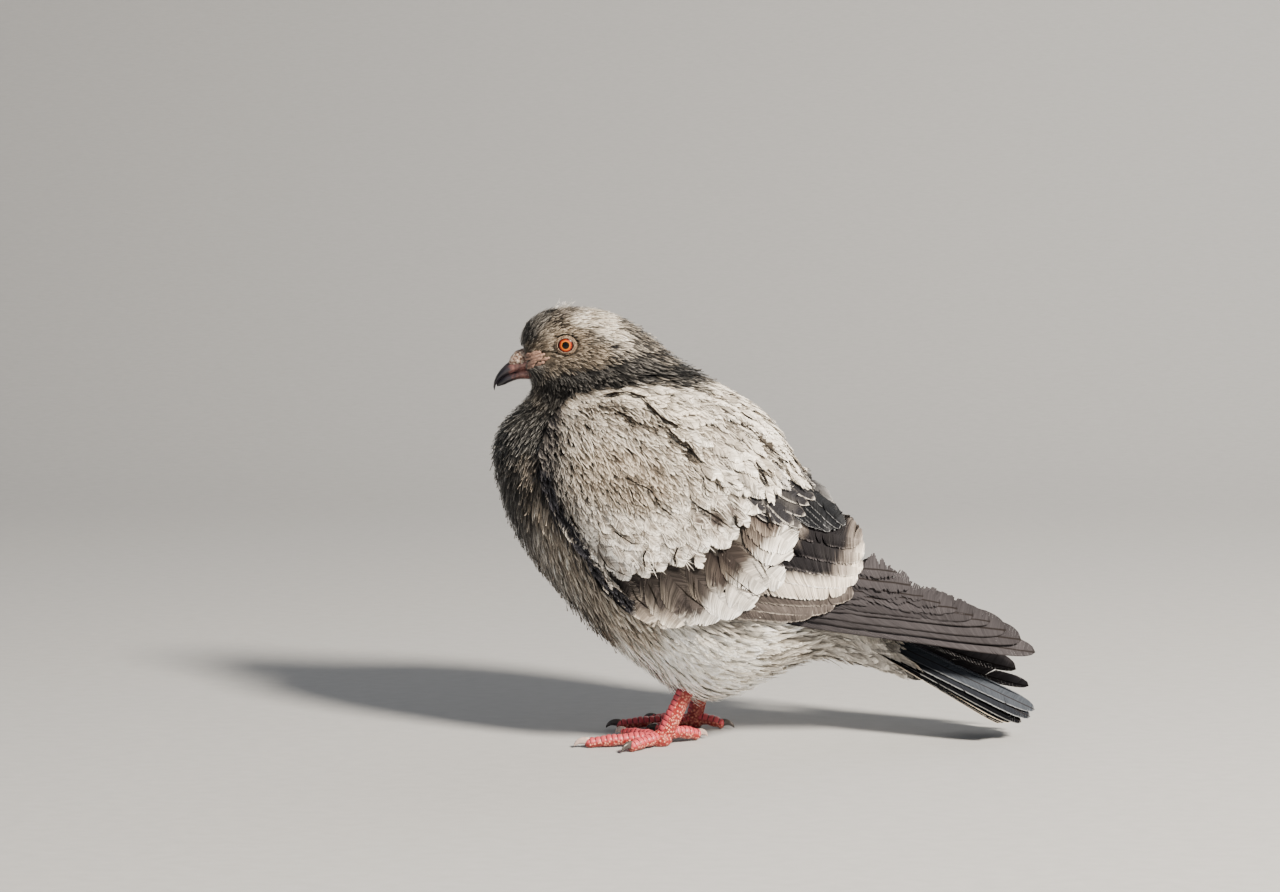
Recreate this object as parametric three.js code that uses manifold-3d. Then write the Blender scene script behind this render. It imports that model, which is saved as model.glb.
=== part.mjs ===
// A feral pigeon standing at rest with its feathers fluffed and its neck drawn in, life size.
// Millimetres, +Z up. The bill points along -X and the bird's left side faces -Y.
// Every outline below is in the bird's own frame: x from bill to tail with 0 over the middle of the
// back, y across with 0 on the plane of symmetry, z up from the ground.

import * as THREE from "three";
import { mergeVertices } from "three/addons/utils/BufferGeometryUtils.js";
import Module from "manifold-3d";

const wasm = await Module();
wasm.setup();

const GAP = 0.3; // between touching pieces
const LEFT = -1;
const RIGHT = 1;

const { clamp, lerp, smoothstep } = THREE.MathUtils;

const horn = new THREE.MeshStandardMaterial({ color: 0x35323a, roughness: 0.35, metalness: 0 });
const plumage = new THREE.MeshStandardMaterial({ color: 0xcdc7bb, roughness: 0.85, metalness: 0 });
const darkPlumage = new THREE.MeshStandardMaterial({ color: 0x3a3d46, roughness: 0.8, metalness: 0 });
const flightFeather = new THREE.MeshStandardMaterial({ color: 0x6b6560, roughness: 0.75, metalness: 0 });
const iris = new THREE.MeshStandardMaterial({ color: 0xd8611c, roughness: 0.1, metalness: 0 });
const redSkin = new THREE.MeshStandardMaterial({ color: 0xc4625c, roughness: 0.6, metalness: 0 });

// ---------------------------------------------------------------------------------------------
// Making closed solids

function solidOf(geometry) {
  const bare = geometry.clone();
  bare.deleteAttribute("normal");
  bare.deleteAttribute("uv");
  const merged = mergeVertices(bare, 1e-3);
  const corners = merged.index.array;
  const kept = [];
  for (let i = 0; i < corners.length; i += 3) {
    const [a, b, c] = corners.slice(i, i + 3);
    if (a !== b && b !== c && c !== a) kept.push(a, b, c);
  }
  const build = (triangles) =>
    new wasm.Manifold(
      new wasm.Mesh({
        numProp: 3,
        vertProperties: merged.attributes.position.array,
        triVerts: new Uint32Array(triangles),
      }),
    );
  const made = build(kept);
  if (made.volume() > 0) return made;
  const turned = [];
  for (let i = 0; i < kept.length; i += 3) turned.push(kept[i], kept[i + 2], kept[i + 1]);
  return build(turned);
}

function largestOf(solid) {
  return solid.decompose().sort((a, b) => b.volume() - a.volume())[0];
}

function joined(solids) {
  return solids.reduce((whole, next) => whole.add(next));
}

function meshOf(name, solid, material) {
  const made = largestOf(solid).getMesh();
  const geometry = new THREE.BufferGeometry();
  geometry.setAttribute("position", new THREE.BufferAttribute(new Float32Array(made.vertProperties), 3));
  geometry.setIndex(new THREE.BufferAttribute(new Uint32Array(made.triVerts), 1));
  geometry.computeVertexNormals();
  const mesh = new THREE.Mesh(geometry, material);
  mesh.name = name;
  return mesh;
}

// A sphere whose parallels and meridians are laid where place(along, around) says: along runs 0 to 1
// from pole to pole and around is an angle.
function moulded(around, along, place) {
  const ball = new THREE.SphereGeometry(1, around, along);
  const { position, uv } = ball.attributes;
  for (let i = 0; i < position.count; i++) {
    const down = 1 - uv.getY(i);
    const turn = down < 1e-6 || down > 1 - 1e-6 ? 0 : (uv.getX(i) % 1) * 2 * Math.PI;
    const p = place(down, turn);
    position.setXYZ(i, p.x, p.y, p.z);
  }
  return ball;
}

// A thin curved plate, split into triangles alike on both faces: outer(u, v) and inner(u, v) give the
// two faces for u across and v along, both 0 to 1.
function plate(columns, rows, outer, inner) {
  const points = [];
  const triangles = [];
  for (const face of [outer, inner])
    for (let j = 0; j <= rows; j++)
      for (let i = 0; i <= columns; i++) points.push(...face(i / columns, j / rows).toArray());
  const at = (layer, i, j) => layer * (columns + 1) * (rows + 1) + j * (columns + 1) + i;
  const quad = (a, b, c, d) => triangles.push(a, b, c, a, c, d);
  for (let j = 0; j < rows; j++)
    for (let i = 0; i < columns; i++) {
      quad(at(0, i, j), at(0, i + 1, j), at(0, i + 1, j + 1), at(0, i, j + 1));
      triangles.push(at(1, i, j), at(1, i + 1, j + 1), at(1, i + 1, j));
      triangles.push(at(1, i, j), at(1, i, j + 1), at(1, i + 1, j + 1));
    }
  for (let j = 0; j < rows; j++) {
    quad(at(0, 0, j), at(0, 0, j + 1), at(1, 0, j + 1), at(1, 0, j));
    quad(at(0, columns, j + 1), at(0, columns, j), at(1, columns, j), at(1, columns, j + 1));
  }
  for (let i = 0; i < columns; i++) {
    quad(at(0, i + 1, 0), at(0, i, 0), at(1, i, 0), at(1, i + 1, 0));
    quad(at(0, i, rows), at(0, i + 1, rows), at(1, i + 1, rows), at(1, i, rows));
  }
  const geometry = new THREE.BufferGeometry();
  geometry.setAttribute("position", new THREE.Float32BufferAttribute(points, 3));
  geometry.setIndex(triangles);
  return geometry;
}

function curveOf(points) {
  return new THREE.CatmullRomCurve3(
    points.map(([x, z, y = 0]) => new THREE.Vector3(x, y, z)),
    false,
    "centripetal",
  );
}

// ---------------------------------------------------------------------------------------------
// The body: one form from the face to the root of the tail, on sections that fan round the throat.
// Each station is [crown x, crown z, belly x, belly z, half width].

const STATIONS = [
  [-80.2, 175.5, -80.2, 173.0, 0],
  [-82.3, 180.8, -79.0, 168.2, 5.0],
  [-82.8, 187.6, -78.9, 166.4, 8.4],
  [-78.4, 195.2, -78.2, 165.2, 11.4],
  [-69.0, 199.9, -77.2, 164.4, 14.0],
  [-56.0, 200.7, -76.6, 163.6, 15.4],
  [-42.0, 198.4, -76.8, 162.2, 16.4],
  [-27.0, 190.6, -79.2, 159.8, 18.2],
  [-14.0, 179.2, -83.8, 154.2, 23.0],
  [0.5, 169.8, -91.0, 147.2, 30.5],
  [16.0, 160.6, -95.6, 135.0, 38.5],
  [30.0, 151.2, -93.4, 119.8, 44.5],
  [40.5, 136.6, -89.2, 105.0, 48.8],
  [47.0, 120.0, -80.5, 88.8, 51.0],
  [52.5, 105.0, -66.5, 70.6, 51.5],
  [57.5, 92.5, -47.5, 50.6, 49.5],
  [61.5, 82.0, -25.5, 33.0, 44.5],
  [65.5, 73.5, -4.0, 18.6, 37.0],
  [69.5, 67.5, 14.0, 20.8, 29.5],
  [74.0, 62.0, 32.5, 30.5, 22.0],
  [80.0, 55.5, 51.0, 37.4, 15.5],
  [89.0, 48.5, 70.0, 35.4, 11.5],
  [97.0, 42.8, 88.0, 30.5, 8.5],
  [106.0, 37.5, 104.0, 26.0, 5.0],
  [109.5, 32.5, 109.5, 31.0, 0],
];
const BODY_AROUND = 24;
const BODY_ALONG = 40;
const BODY_MIDDLE = 0.48; // where across a section the body is widest, from the belly
const FACE_ROUNDING = 2.0; // exponent of the section: 2 is an ellipse
const BODY_ROUNDING = 2.25;

const crownLine = curveOf(STATIONS.map(([x, z]) => [x, z]));
const bellyLine = curveOf(STATIONS.map(([, , x, z, width]) => [x, z, width]));

function bodySection(along) {
  const crown = crownLine.getPoint(along);
  const belly = bellyLine.getPoint(along);
  const halfWidth = Math.max(belly.y, 0);
  belly.y = 0;
  const rounding = lerp(FACE_ROUNDING, BODY_ROUNDING, smoothstep(along, 0.35, 0.5));
  return { crown, belly, halfWidth, rounding };
}

function bodyPoint(along, turn) {
  const { crown, belly, halfWidth, rounding } = bodySection(along);
  const middle = belly.clone().lerp(crown, BODY_MIDDLE);
  const power = 2 / rounding;
  const up = Math.cos(turn);
  const out = Math.sin(turn);
  const reach = Math.abs(up) ** power;
  const p = middle.clone().lerp(up > 0 ? crown : belly, reach);
  p.y = Math.sign(out) * halfWidth * Math.abs(out) ** power;
  return p;
}

function bodyForm(swell) {
  const skin = moulded(BODY_AROUND, BODY_ALONG, bodyPoint);
  if (!swell) return solidOf(skin);
  skin.deleteAttribute("normal");
  skin.deleteAttribute("uv");
  const merged = mergeVertices(skin, 1e-3);
  merged.computeVertexNormals();
  const { position, normal } = merged.attributes;
  for (let i = 0; i < position.count; i++)
    position.setXYZ(
      i,
      position.getX(i) + swell * normal.getX(i),
      position.getY(i) + swell * normal.getY(i),
      position.getZ(i) + swell * normal.getZ(i),
    );
  return solidOf(merged);
}

// Half the body's width at a point of its side view, or 0 outside its outline.
const SECTION_COUNT = 240;
const sections = Array.from({ length: SECTION_COUNT }, (_, i) => bodySection(i / (SECTION_COUNT - 1)));

function bodyHalfWidth(x, z) {
  let before = null;
  for (const section of sections) {
    const dx = section.crown.x - section.belly.x;
    const dz = section.crown.z - section.belly.z;
    const side = dx * (z - section.belly.z) - dz * (x - section.belly.x);
    const share = ((x - section.belly.x) * dx + (z - section.belly.z) * dz) / (dx * dx + dz * dz);
    const now = { side, share, section };
    if (before && before.side > 0 !== side > 0 && share > -0.2 && share < 1.2) {
      const t = before.side / (before.side - side);
      const across = lerp(before.share, share, t);
      const halfWidth = lerp(before.section.halfWidth, section.halfWidth, t);
      const reach = across > BODY_MIDDLE ? 1 - BODY_MIDDLE : BODY_MIDDLE;
      const fromMiddle = Math.abs(across - BODY_MIDDLE) / reach;
      const { rounding } = section;
      if (fromMiddle < 1) return halfWidth * (1 - fromMiddle ** rounding) ** (1 / rounding);
    }
    before = now;
  }
  return 0;
}

// A cut through the body along one of its sections, as a plane: normal towards the tail and its offset.
function cutPlane(along) {
  const { crown, belly } = bodySection(along);
  const up = crown.clone().sub(belly).normalize();
  const normal = new THREE.Vector3(up.z, 0, -up.x);
  return { normal, offset: normal.dot(crown) };
}

function before({ normal, offset }, solid) {
  return solid.trimByPlane([-normal.x, 0, -normal.z], -offset + GAP / 2);
}

function after({ normal, offset }, solid) {
  return solid.trimByPlane([normal.x, 0, normal.z], offset + GAP / 2);
}

const wholeBody = bodyForm(0);
const clearOfBody = bodyForm(GAP + 0.02);
const JAW_CUT = cutPlane(0.325);
const SHOULDER_CUT = cutPlane(0.45);
const RUMP_CUT = cutPlane(0.845);

// ---------------------------------------------------------------------------------------------
// Head, eyes and lids

const EYE = { x: -61.3, z: 183.3, radius: 5.2, opening: 3.5 };
const LID = { thickness: 0.8, proud: 0.3 };

const eyeSurface = bodyHalfWidth(EYE.x, EYE.z);
const eyeDepth = Math.sqrt(EYE.radius ** 2 - EYE.opening ** 2);
const eyeCentreY = eyeSurface - eyeDepth + LID.proud;

function eyeBall(side, radius) {
  const ball = new THREE.SphereGeometry(radius, 14, 9);
  ball.rotateX(Math.PI / 2);
  ball.translate(EYE.x, side * eyeCentreY, EYE.z);
  return solidOf(ball);
}

function lidRing(side) {
  const ring = new THREE.TorusGeometry(EYE.opening + LID.thickness * 0.6, LID.thickness, 5, 16);
  ring.rotateX(Math.PI / 2);
  ring.translate(EYE.x, side * (eyeSurface - 0.25), EYE.z);
  return solidOf(ring);
}

// ---------------------------------------------------------------------------------------------
// Bill: an upper mandible with a hooked tip and two cere bulbs over slit nostrils, and a lower one

// [upper edge x, upper edge z, lower edge x, lower edge z, half width], from inside the face to the tip
const UPPER_BILL = [
  [-72.0, 178.0, -72.0, 174.0, 0],
  [-73.0, 179.0, -72.6, 172.9, 5.6],
  [-79.0, 177.8, -79.0, 171.4, 5.3],
  [-84.6, 176.4, -83.6, 169.9, 4.8],
  [-88.8, 174.4, -87.2, 168.9, 4.0],
  [-92.1, 171.2, -90.2, 167.8, 3.0],
  [-94.4, 167.4, -92.6, 166.2, 2.0],
  [-95.2, 163.9, -94.1, 164.0, 1.0],
  [-94.8, 161.7, -94.7, 161.7, 0],
];
const LOWER_BILL = [
  [-72.4, 172.5, -72.4, 169.0, 0],
  [-73.4, 174.0, -73.4, 167.4, 4.9],
  [-79.1, 172.8, -79.0, 167.0, 4.8],
  [-83.8, 171.4, -83.4, 166.9, 4.3],
  [-87.6, 169.8, -87.5, 165.6, 3.4],
  [-90.8, 168.2, -90.2, 164.4, 2.4],
  [-93.9, 165.4, -93.6, 163.6, 0],
];
const CERE = { x: -82.8, z: 176.9, y: 2.2, length: 5.2, height: 3.3, width: 2.9, tilt: 0.42 };
const NOSTRIL = { x: -85.2, z: 173.6, y: 5.0, length: 3.0, height: 0.5, width: 1.4, tilt: 0.2 };

function mandible(stations, around, along, swell) {
  const top = curveOf(stations.map(([x, z]) => [x, z]));
  const bottom = curveOf(stations.map(([, , x, z, width]) => [x, z, width]));
  return solidOf(
    moulded(around, along, (t, turn) => {
      const upper = top.getPoint(t);
      const lower = bottom.getPoint(t);
      const halfWidth = Math.max(lower.y, 0);
      lower.y = 0;
      const over = upper.clone().sub(lower).setLength(swell);
      const p = lower.sub(over).lerp(upper.add(over), (1 + Math.cos(turn)) / 2);
      p.y = (halfWidth + swell) * Math.sin(turn);
      return p;
    }),
  );
}

function bulb({ x, z, y, length, height, width, tilt }, side) {
  const ball = new THREE.SphereGeometry(1, 12, 8);
  ball.scale(length, width, height);
  ball.rotateY(-tilt);
  ball.translate(x, side * y, z);
  return solidOf(ball);
}

const upperBillForm = joined([mandible(UPPER_BILL, 12, 14, 0), bulb(CERE, LEFT), bulb(CERE, RIGHT)])
  .subtract(bulb(NOSTRIL, LEFT))
  .subtract(bulb(NOSTRIL, RIGHT));
const lowerBillForm = mandible(LOWER_BILL, 12, 10, 0).subtract(mandible(UPPER_BILL, 12, 14, GAP));

// ---------------------------------------------------------------------------------------------
// Wings: a shield of small coverts over the shoulder, with tiers of vanes rooted in it

// Outline of the shield in side view, both from the shoulder: round the leading edge below, and along
// the scapulars above.
const SHIELD_EDGE = curveOf([
  [-57, 158],
  [-67, 148.5],
  [-71.5, 136],
  [-71, 123],
  [-66, 111],
  [-56, 96],
  [-44, 80.5],
  [-29, 69],
  [-10, 62.5],
  [8, 61],
  [26, 62],
  [44, 64],
  [56, 67],
]);
const SHIELD_BACK = curveOf([
  [-54, 160],
  [-42, 163.5],
  [-27, 164.5],
  [-10, 162],
  [8, 154.5],
  [22, 144.5],
  [34, 131],
  [43, 118],
  [50, 106],
  [55, 96],
  [58, 88],
  [59, 80],
  [59, 75],
]);
const SHIELD = { columns: 8, rows: 13, rim: 1.8, lowerRim: 5, depth: 7, edgeRun: 16, sunk: 4 };
const SHIELD_RECESS = { front: 0.3, rear: 3.4, from: -25, to: 50 }; // below the tips of the vanes

// The folded flight feathers lie like a roof, from an eave along the lowest primary up to a ridge over
// the rump. Rows are [x, z].
const EAVE = [
  [0, 59.5],
  [28, 57.5],
  [53, 52.5],
  [72, 48],
  [90, 44],
  [114, 40],
  [150, 38],
  [175, 37],
];
const RIDGE = [
  [-100, 178],
  [18, 160.5],
  [32, 150.5],
  [42, 137],
  [53, 124.5],
  [64, 113],
  [73.5, 98.5],
  [78.5, 88.5],
  [92, 82],
  [97, 77],
  [107, 68.5],
  [122, 62.5],
  [138, 53],
  [147, 49],
  [153, 44],
  [175, 40],
];
const ROOF = { near: 49, far: 12.5, start: 20, end: 155, ridge: 1.6, taper: 0.95, rounding: 1.7 };
const BLEND = 5;

function heightAt(rows, x) {
  const next = rows.findIndex((row) => row[0] > x);
  if (next <= 0) return rows[next === 0 ? 0 : rows.length - 1][1];
  const [x0, z0] = rows[next - 1];
  const [x1, z1] = rows[next];
  return lerp(z0, z1, (x - x0) / (x1 - x0));
}

function roofHalfWidth(x, z) {
  const eave = heightAt(EAVE, x);
  const share = clamp((z - eave) / (heightAt(RIDGE, x) - eave), 0, 1);
  const run = clamp((ROOF.end - x) / (ROOF.end - ROOF.start), 0, 1);
  const wide = lerp(ROOF.far, ROOF.near, run ** ROOF.taper);
  const arch = (1 - share ** ROOF.rounding) ** (1 / ROOF.rounding);
  return smoothstep(x, -15, 20) * lerp(ROOF.ridge, wide, arch);
}

const rimPoints = [...SHIELD_EDGE.getPoints(60), ...SHIELD_BACK.getPoints(60).filter((p) => p.x < 32)];

function fromRim(x, z) {
  return Math.min(...rimPoints.map((p) => Math.hypot(p.x - x, p.z - z)));
}

function softMax(a, b, softness) {
  const h = clamp(0.5 + (0.5 * (a - b)) / softness, 0, 1);
  return lerp(b, a, h) + softness * h * (1 - h);
}

// Half width of the plumage over the folded wing, which stands clear of the belly along its lower edge
function wingHalfWidth(x, z) {
  const low = smoothstep(x, -55, -15) * smoothstep(-z, -125, -95);
  const rim = lerp(SHIELD.rim, SHIELD.lowerRim, low);
  const cover = lerp(rim, SHIELD.depth, smoothstep(fromRim(x, z), 0, SHIELD.edgeRun));
  return softMax(bodyHalfWidth(x, z) + cover, roofHalfWidth(x, z), BLEND);
}

// A point of the left wing's plumage in side view, moved out by lift along the surface's normal
function onWing(x, z, lift) {
  const reach = 1.5;
  const y = wingHalfWidth(x, z);
  const slopeX = (wingHalfWidth(x + reach, z) - wingHalfWidth(x - reach, z)) / (2 * reach);
  const slopeZ = (wingHalfWidth(x, z + reach) - wingHalfWidth(x, z - reach)) / (2 * reach);
  const normal = new THREE.Vector3(-slopeX, 1, -slopeZ).normalize();
  const p = new THREE.Vector3(x, y, z).addScaledVector(normal, lift);
  p.y = Math.max(p.y, 0.6);
  return p;
}

function shieldForm(side) {
  const at = (u, v) => SHIELD_EDGE.getPoint(v).lerp(SHIELD_BACK.getPoint(v), u);
  const recess = (x, z) => {
    const rear = smoothstep(x, SHIELD_RECESS.from, SHIELD_RECESS.to);
    const inward = smoothstep(fromRim(x, z), 0, SHIELD.edgeRun);
    return lerp(SHIELD_RECESS.front, SHIELD_RECESS.rear, rear * inward);
  };
  const outer = (u, v) => {
    const p = at(u, v);
    p.y = side * (wingHalfWidth(p.x, p.z) - recess(p.x, p.z));
    return p;
  };
  const inner = (u, v) => {
    const p = at(u, v);
    p.y = side * Math.max(bodyHalfWidth(p.x, p.z) - SHIELD.sunk, 1);
    return p;
  };
  return solidOf(plate(SHIELD.columns, SHIELD.rows, outer, inner));
}

// How wide a vane is along its length, as [share of its length, share of its width]
const VANE_OUTLINE = [
  [0, 0.6],
  [0.3, 0.95],
  [0.6, 1],
  [0.87, 0.9],
  [0.97, 0.55],
  [1, 0.15],
];

// A vane that lies on the wing's plumage from root to tip, its lower edge tilted out over the next
// vane below and its upper edge tucked in under the next one above.
function vane({ root, tip, width, sag, lift, tilt, thickness, side, drop }) {
  const bend = root.clone().lerp(tip, 0.5);
  bend.z -= sag;
  const shaft = new THREE.QuadraticBezierCurve3(root, bend, tip);
  const last = VANE_OUTLINE.length - 1;
  const place = (u, v, layer) => {
    const [share, breadth] = VANE_OUTLINE[Math.round(v * last)];
    const centre = shaft.getPoint(share);
    const along = shaft.getTangent(share);
    const offset = (u - 0.5) * width * breadth;
    const x = centre.x + along.z * offset;
    const z = Math.min(centre.z - along.x * offset, heightAt(RIDGE, x));
    const p = onWing(x, z, lerp(lift[0], lift[1], share) + tilt * offset - layer * thickness);
    p.y *= side;
    p.z -= drop * smoothstep(p.x, 20, 150);
    return p;
  };
  return solidOf(
    plate(
      1,
      last,
      (u, v) => place(u, v, 0),
      (u, v) => place(u, v, 1),
    ),
  );
}

// Tiers from the lowest feather up to the one next to the back. roots and tips are curves in side view.
const TIERS = {
  primaries: {
    count: 9,
    roots: [[18, 65], [22, 70], [30, 78], [38, 86]],
    tips: [[155.5, 41.5], [152.5, 44.5], [144.5, 48.5], [134, 53], [119, 60], [104, 67], [97, 73], [92, 79]],
    width: [11, 12],
    sag: 1.5,
    lift: [-4.6, -0.6],
    tilt: 0.3,
    thickness: 0.6,
  },
  secondaries: {
    count: 8,
    roots: [[-2, 74], [8, 88], [19, 103], [30, 122], [34, 137]],
    tips: [[67, 65], [74.5, 74], [77.5, 84], [73.5, 95], [64, 109]],
    width: [13, 13],
    sag: 2,
    lift: [-3.4, -0.3],
    tilt: 0.19,
    thickness: 0.65,
  },
  greaterCoverts: {
    count: 7,
    roots: [[-34, 85], [-16, 98], [0, 113], [22, 138]],
    tips: [[-6, 63.5], [20, 67], [39, 78], [49, 96], [55, 113]],
    width: [12, 13],
    sag: 1.5,
    lift: [-3.4, -0.2],
    tilt: 0.17,
    thickness: 0.7,
  },
  medianCoverts: {
    count: 7,
    roots: [[-56, 112], [-42, 106], [-20, 114], [4, 142]],
    tips: [[-42, 84], [-22, 83], [0, 88], [17, 101], [32, 124]],
    width: [13, 13],
    sag: 1.5,
    lift: [-2.8, 0.3],
    tilt: 0.15,
    thickness: 0.7,
  },
};
const RIGHT_TIP_DROP = 19; // the right wing hangs a little looser than the left, most at its lowest feather

function tierForms({ count, roots, tips, width, ...shape }, side) {
  const rootCurve = curveOf(roots);
  const tipCurve = curveOf(tips);
  return Array.from({ length: count }, (_, i) => {
    const share = i / (count - 1);
    return vane({
      ...shape,
      root: rootCurve.getPoint(share),
      tip: tipCurve.getPoint(share),
      width: lerp(width[0], width[1], share),
      side,
      drop: side === RIGHT ? RIGHT_TIP_DROP * (1 - share) ** 1.3 : 0,
    });
  });
}

function wing(side) {
  const vanes = Object.values(TIERS).flatMap((tier) => tierForms(tier, side));
  return joined([shieldForm(side), ...vanes]).subtract(clearOfBody);
}

// ---------------------------------------------------------------------------------------------
// Tail: twelve rectrices folded one over another, the middle pair on top, rooted in the rump

const TAIL = {
  root: new THREE.Vector3(66, 0, 57),
  slope: -0.478, // radians: the tail points down and back
  length: 98.5,
  pairs: 6,
  middleWidth: 11,
  width: 9,
  rootSpread: 1.4,
  tipSpread: 3.4,
  shorter: 1.2,
  step: 0.5,
  tilt: 0.17,
  arch: 0.006,
  thickness: 0.6,
};
const RECTRIX_OUTLINE = [
  [0, 0.6],
  [0.4, 0.85],
  [0.75, 1],
  [0.93, 0.94],
  [0.99, 0.6],
  [1, 0.25],
];

function rectrix(pair, side) {
  const { root, slope, length, rootSpread, tipSpread, shorter, step, tilt, arch, thickness } = TAIL;
  const back = new THREE.Vector3(Math.cos(slope), 0, Math.sin(slope));
  const up = new THREE.Vector3(-Math.sin(slope), 0, Math.cos(slope));
  const reach = length - shorter * pair;
  const width = pair === 0 ? TAIL.middleWidth : TAIL.width;
  const over = pair === 0 && side === LEFT ? 1 : 0; // the left one of the middle pair lies over the right
  const last = RECTRIX_OUTLINE.length - 1;
  const place = (u, v, layer) => {
    const [share, breadth] = RECTRIX_OUTLINE[Math.round(v * last)];
    const centre = lerp(rootSpread, tipSpread, share) * (pair + 0.6) + 0.8;
    const offset = (u - 0.5) * width * breadth;
    const y = centre + offset;
    const height = over - arch * y * y + tilt * offset - step * pair - layer * thickness;
    const p = root.clone().addScaledVector(back, reach * share).addScaledVector(up, height);
    p.y = side * y;
    return p;
  };
  return solidOf(
    plate(
      1,
      last,
      (u, v) => place(u, v, 0),
      (u, v) => place(u, v, 1),
    ),
  );
}

function tail() {
  const vanes = [];
  for (let pair = 0; pair < TAIL.pairs; pair++) {
    vanes.push(rectrix(pair, LEFT));
    vanes.push(rectrix(pair, RIGHT));
  }
  return after(RUMP_CUT, joined([wholeBody, ...vanes]));
}

// ---------------------------------------------------------------------------------------------
// Legs and feet: a scaled shank on each side, three toes forward and one back, each with a claw

const ANKLE_HEIGHT = 9; // where the shank joins the foot
const SHANK = { radius: 3.9, knee: 4.3, narrow: 0.76, around: 10 };
const PAD = { length: 5.2, width: 4.6, height: 4.4 };
const TOE = { around: 8, steps: 9, tip: 0.84, knuckle: 0.07, knuckles: 3 };
const CLAW = { length: 7, radius: 1.75, narrow: 0.72, around: 8, steps: 6, curl: 1.6, inside: 2.4 };

// Seen from above: the centre of each foot, the top of its shank inside the belly, and each toe's tip
// under its claw with the toe's radius at the root. rise is how high a toe leaves the foot.
const FEET = {
  left: {
    centre: [-18, -20.5],
    top: [-2.5, -19, 34],
    toes: [
      { name: "middle", tip: [-53, -25.2], radius: 2.8, rise: 3.8 },
      { name: "outer", tip: [-32.5, -35], radius: 2.9, rise: 3.8 },
      { name: "inner", tip: [-36, 0], radius: 2.6, rise: 3.6 },
      { name: "hind", tip: [0, -7.5], radius: 3.1, rise: 5.6 },
    ],
  },
  right: {
    centre: [-2.5, 21.5],
    top: [5, 19.5, 34],
    toes: [
      { name: "middle", tip: [-39, 16.5], radius: 2.8, rise: 3.8 },
      { name: "outer", tip: [-22, 31.5], radius: 2.7, rise: 3.6 },
      { name: "inner", tip: [-21.5, 7.5], radius: 2.6, rise: 3.6 },
      { name: "hind", tip: [12.5, 17], radius: 2.8, rise: 4.4 },
    ],
  },
};

// A tube along a curve, with radius(t) and narrow as its breadth over its height
function tube(path, radius, narrow, around, steps) {
  return solidOf(
    moulded(around, steps, (t, turn) => {
      const ahead = path.getTangent(t);
      const aside = new THREE.Vector3(0, 0, 1).cross(ahead).normalize();
      const up = ahead.clone().cross(aside).normalize();
      const r = radius(t);
      return path
        .getPoint(t)
        .addScaledVector(aside, narrow * r * Math.cos(turn))
        .addScaledVector(up, r * Math.sin(turn));
    }),
  );
}

function toePath({ centre }, { tip, radius, rise }) {
  const from = new THREE.Vector3(centre[0], centre[1], rise);
  const to = new THREE.Vector3(tip[0], tip[1], radius * TOE.tip * 0.85);
  const middle = from.clone().lerp(to, 0.5);
  middle.z = Math.max(radius * 0.95, rise * 0.9);
  return new THREE.CatmullRomCurve3([from, middle, to]);
}

function toeForm(foot, toe) {
  const rounded = (t) => Math.sqrt(Math.max(1 - clamp((t - 0.88) / 0.12, 0, 1) ** 2, 0));
  const knuckled = (t) => 1 + TOE.knuckle * Math.cos(2 * Math.PI * TOE.knuckles * t);
  const radius = (t) => (t <= 0 ? 0 : toe.radius * lerp(1, TOE.tip, t) * knuckled(t) * rounded(t));
  return tube(toePath(foot, toe), radius, 1, TOE.around, TOE.steps);
}

function clawForm(foot, toe, swell) {
  const path = toePath(foot, toe);
  const ahead = path.getTangent(1).setZ(0).normalize();
  const base = path.getPoint(1).addScaledVector(ahead, -CLAW.inside);
  base.z = toe.radius * 0.95;
  const end = base.clone().addScaledVector(ahead, CLAW.length);
  end.z = 0.8;
  const bend = base.clone().lerp(end, 0.6);
  bend.z = base.z + CLAW.curl;
  const arc = new THREE.QuadraticBezierCurve3(base, bend, end);
  const taper = (t) => (1 - t) ** 0.6 * Math.min(1, 0.75 + 3 * t);
  const radius = (t) => (t <= 0 || t >= 1 ? 0 : CLAW.radius * taper(t) + swell);
  return tube(arc, radius, CLAW.narrow, CLAW.around, CLAW.steps);
}

function onFloor(solid) {
  return solid.trimByPlane([0, 0, 1], 0);
}

function shankForm({ centre, top }) {
  const path = new THREE.LineCurve3(new THREE.Vector3(...centre, 1.6), new THREE.Vector3(...top));
  const radius = (t) => (t <= 0 || t >= 1 ? 0 : lerp(SHANK.radius, SHANK.knee, smoothstep(t, 0.5, 1)));
  return tube(path, radius, SHANK.narrow, SHANK.around, 6);
}

function footForm(foot) {
  const pad = new THREE.SphereGeometry(1, 10, 7);
  pad.scale(PAD.length, PAD.width, PAD.height);
  pad.translate(...foot.centre, 3.2);
  const whole = joined([solidOf(pad), shankForm(foot), ...foot.toes.map((toe) => toeForm(foot, toe))]);
  const belowAnkle = onFloor(whole).trimByPlane([0, 0, -1], GAP - ANKLE_HEIGHT);
  return foot.toes.reduce((left, toe) => left.subtract(clawForm(foot, toe, GAP)), belowAnkle);
}

function legForm(foot) {
  return shankForm(foot).trimByPlane([0, 0, 1], ANKLE_HEIGHT).subtract(clearOfBody);
}

// ---------------------------------------------------------------------------------------------
// Assembly

const bird = new THREE.Group();

const head = joined([before(JAW_CUT, wholeBody), lidRing(LEFT), lidRing(RIGHT)])
  .subtract(eyeBall(LEFT, EYE.radius + GAP))
  .subtract(eyeBall(RIGHT, EYE.radius + GAP));
bird.add(meshOf("head", head, plumage));
bird.add(meshOf("eye_left", eyeBall(LEFT, EYE.radius), iris));
bird.add(meshOf("eye_right", eyeBall(RIGHT, EYE.radius), iris));

const upperBill = upperBillForm.subtract(clearOfBody);
bird.add(meshOf("bill_upper", upperBill, horn));
bird.add(meshOf("bill_lower", lowerBillForm.subtract(clearOfBody), horn));

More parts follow.
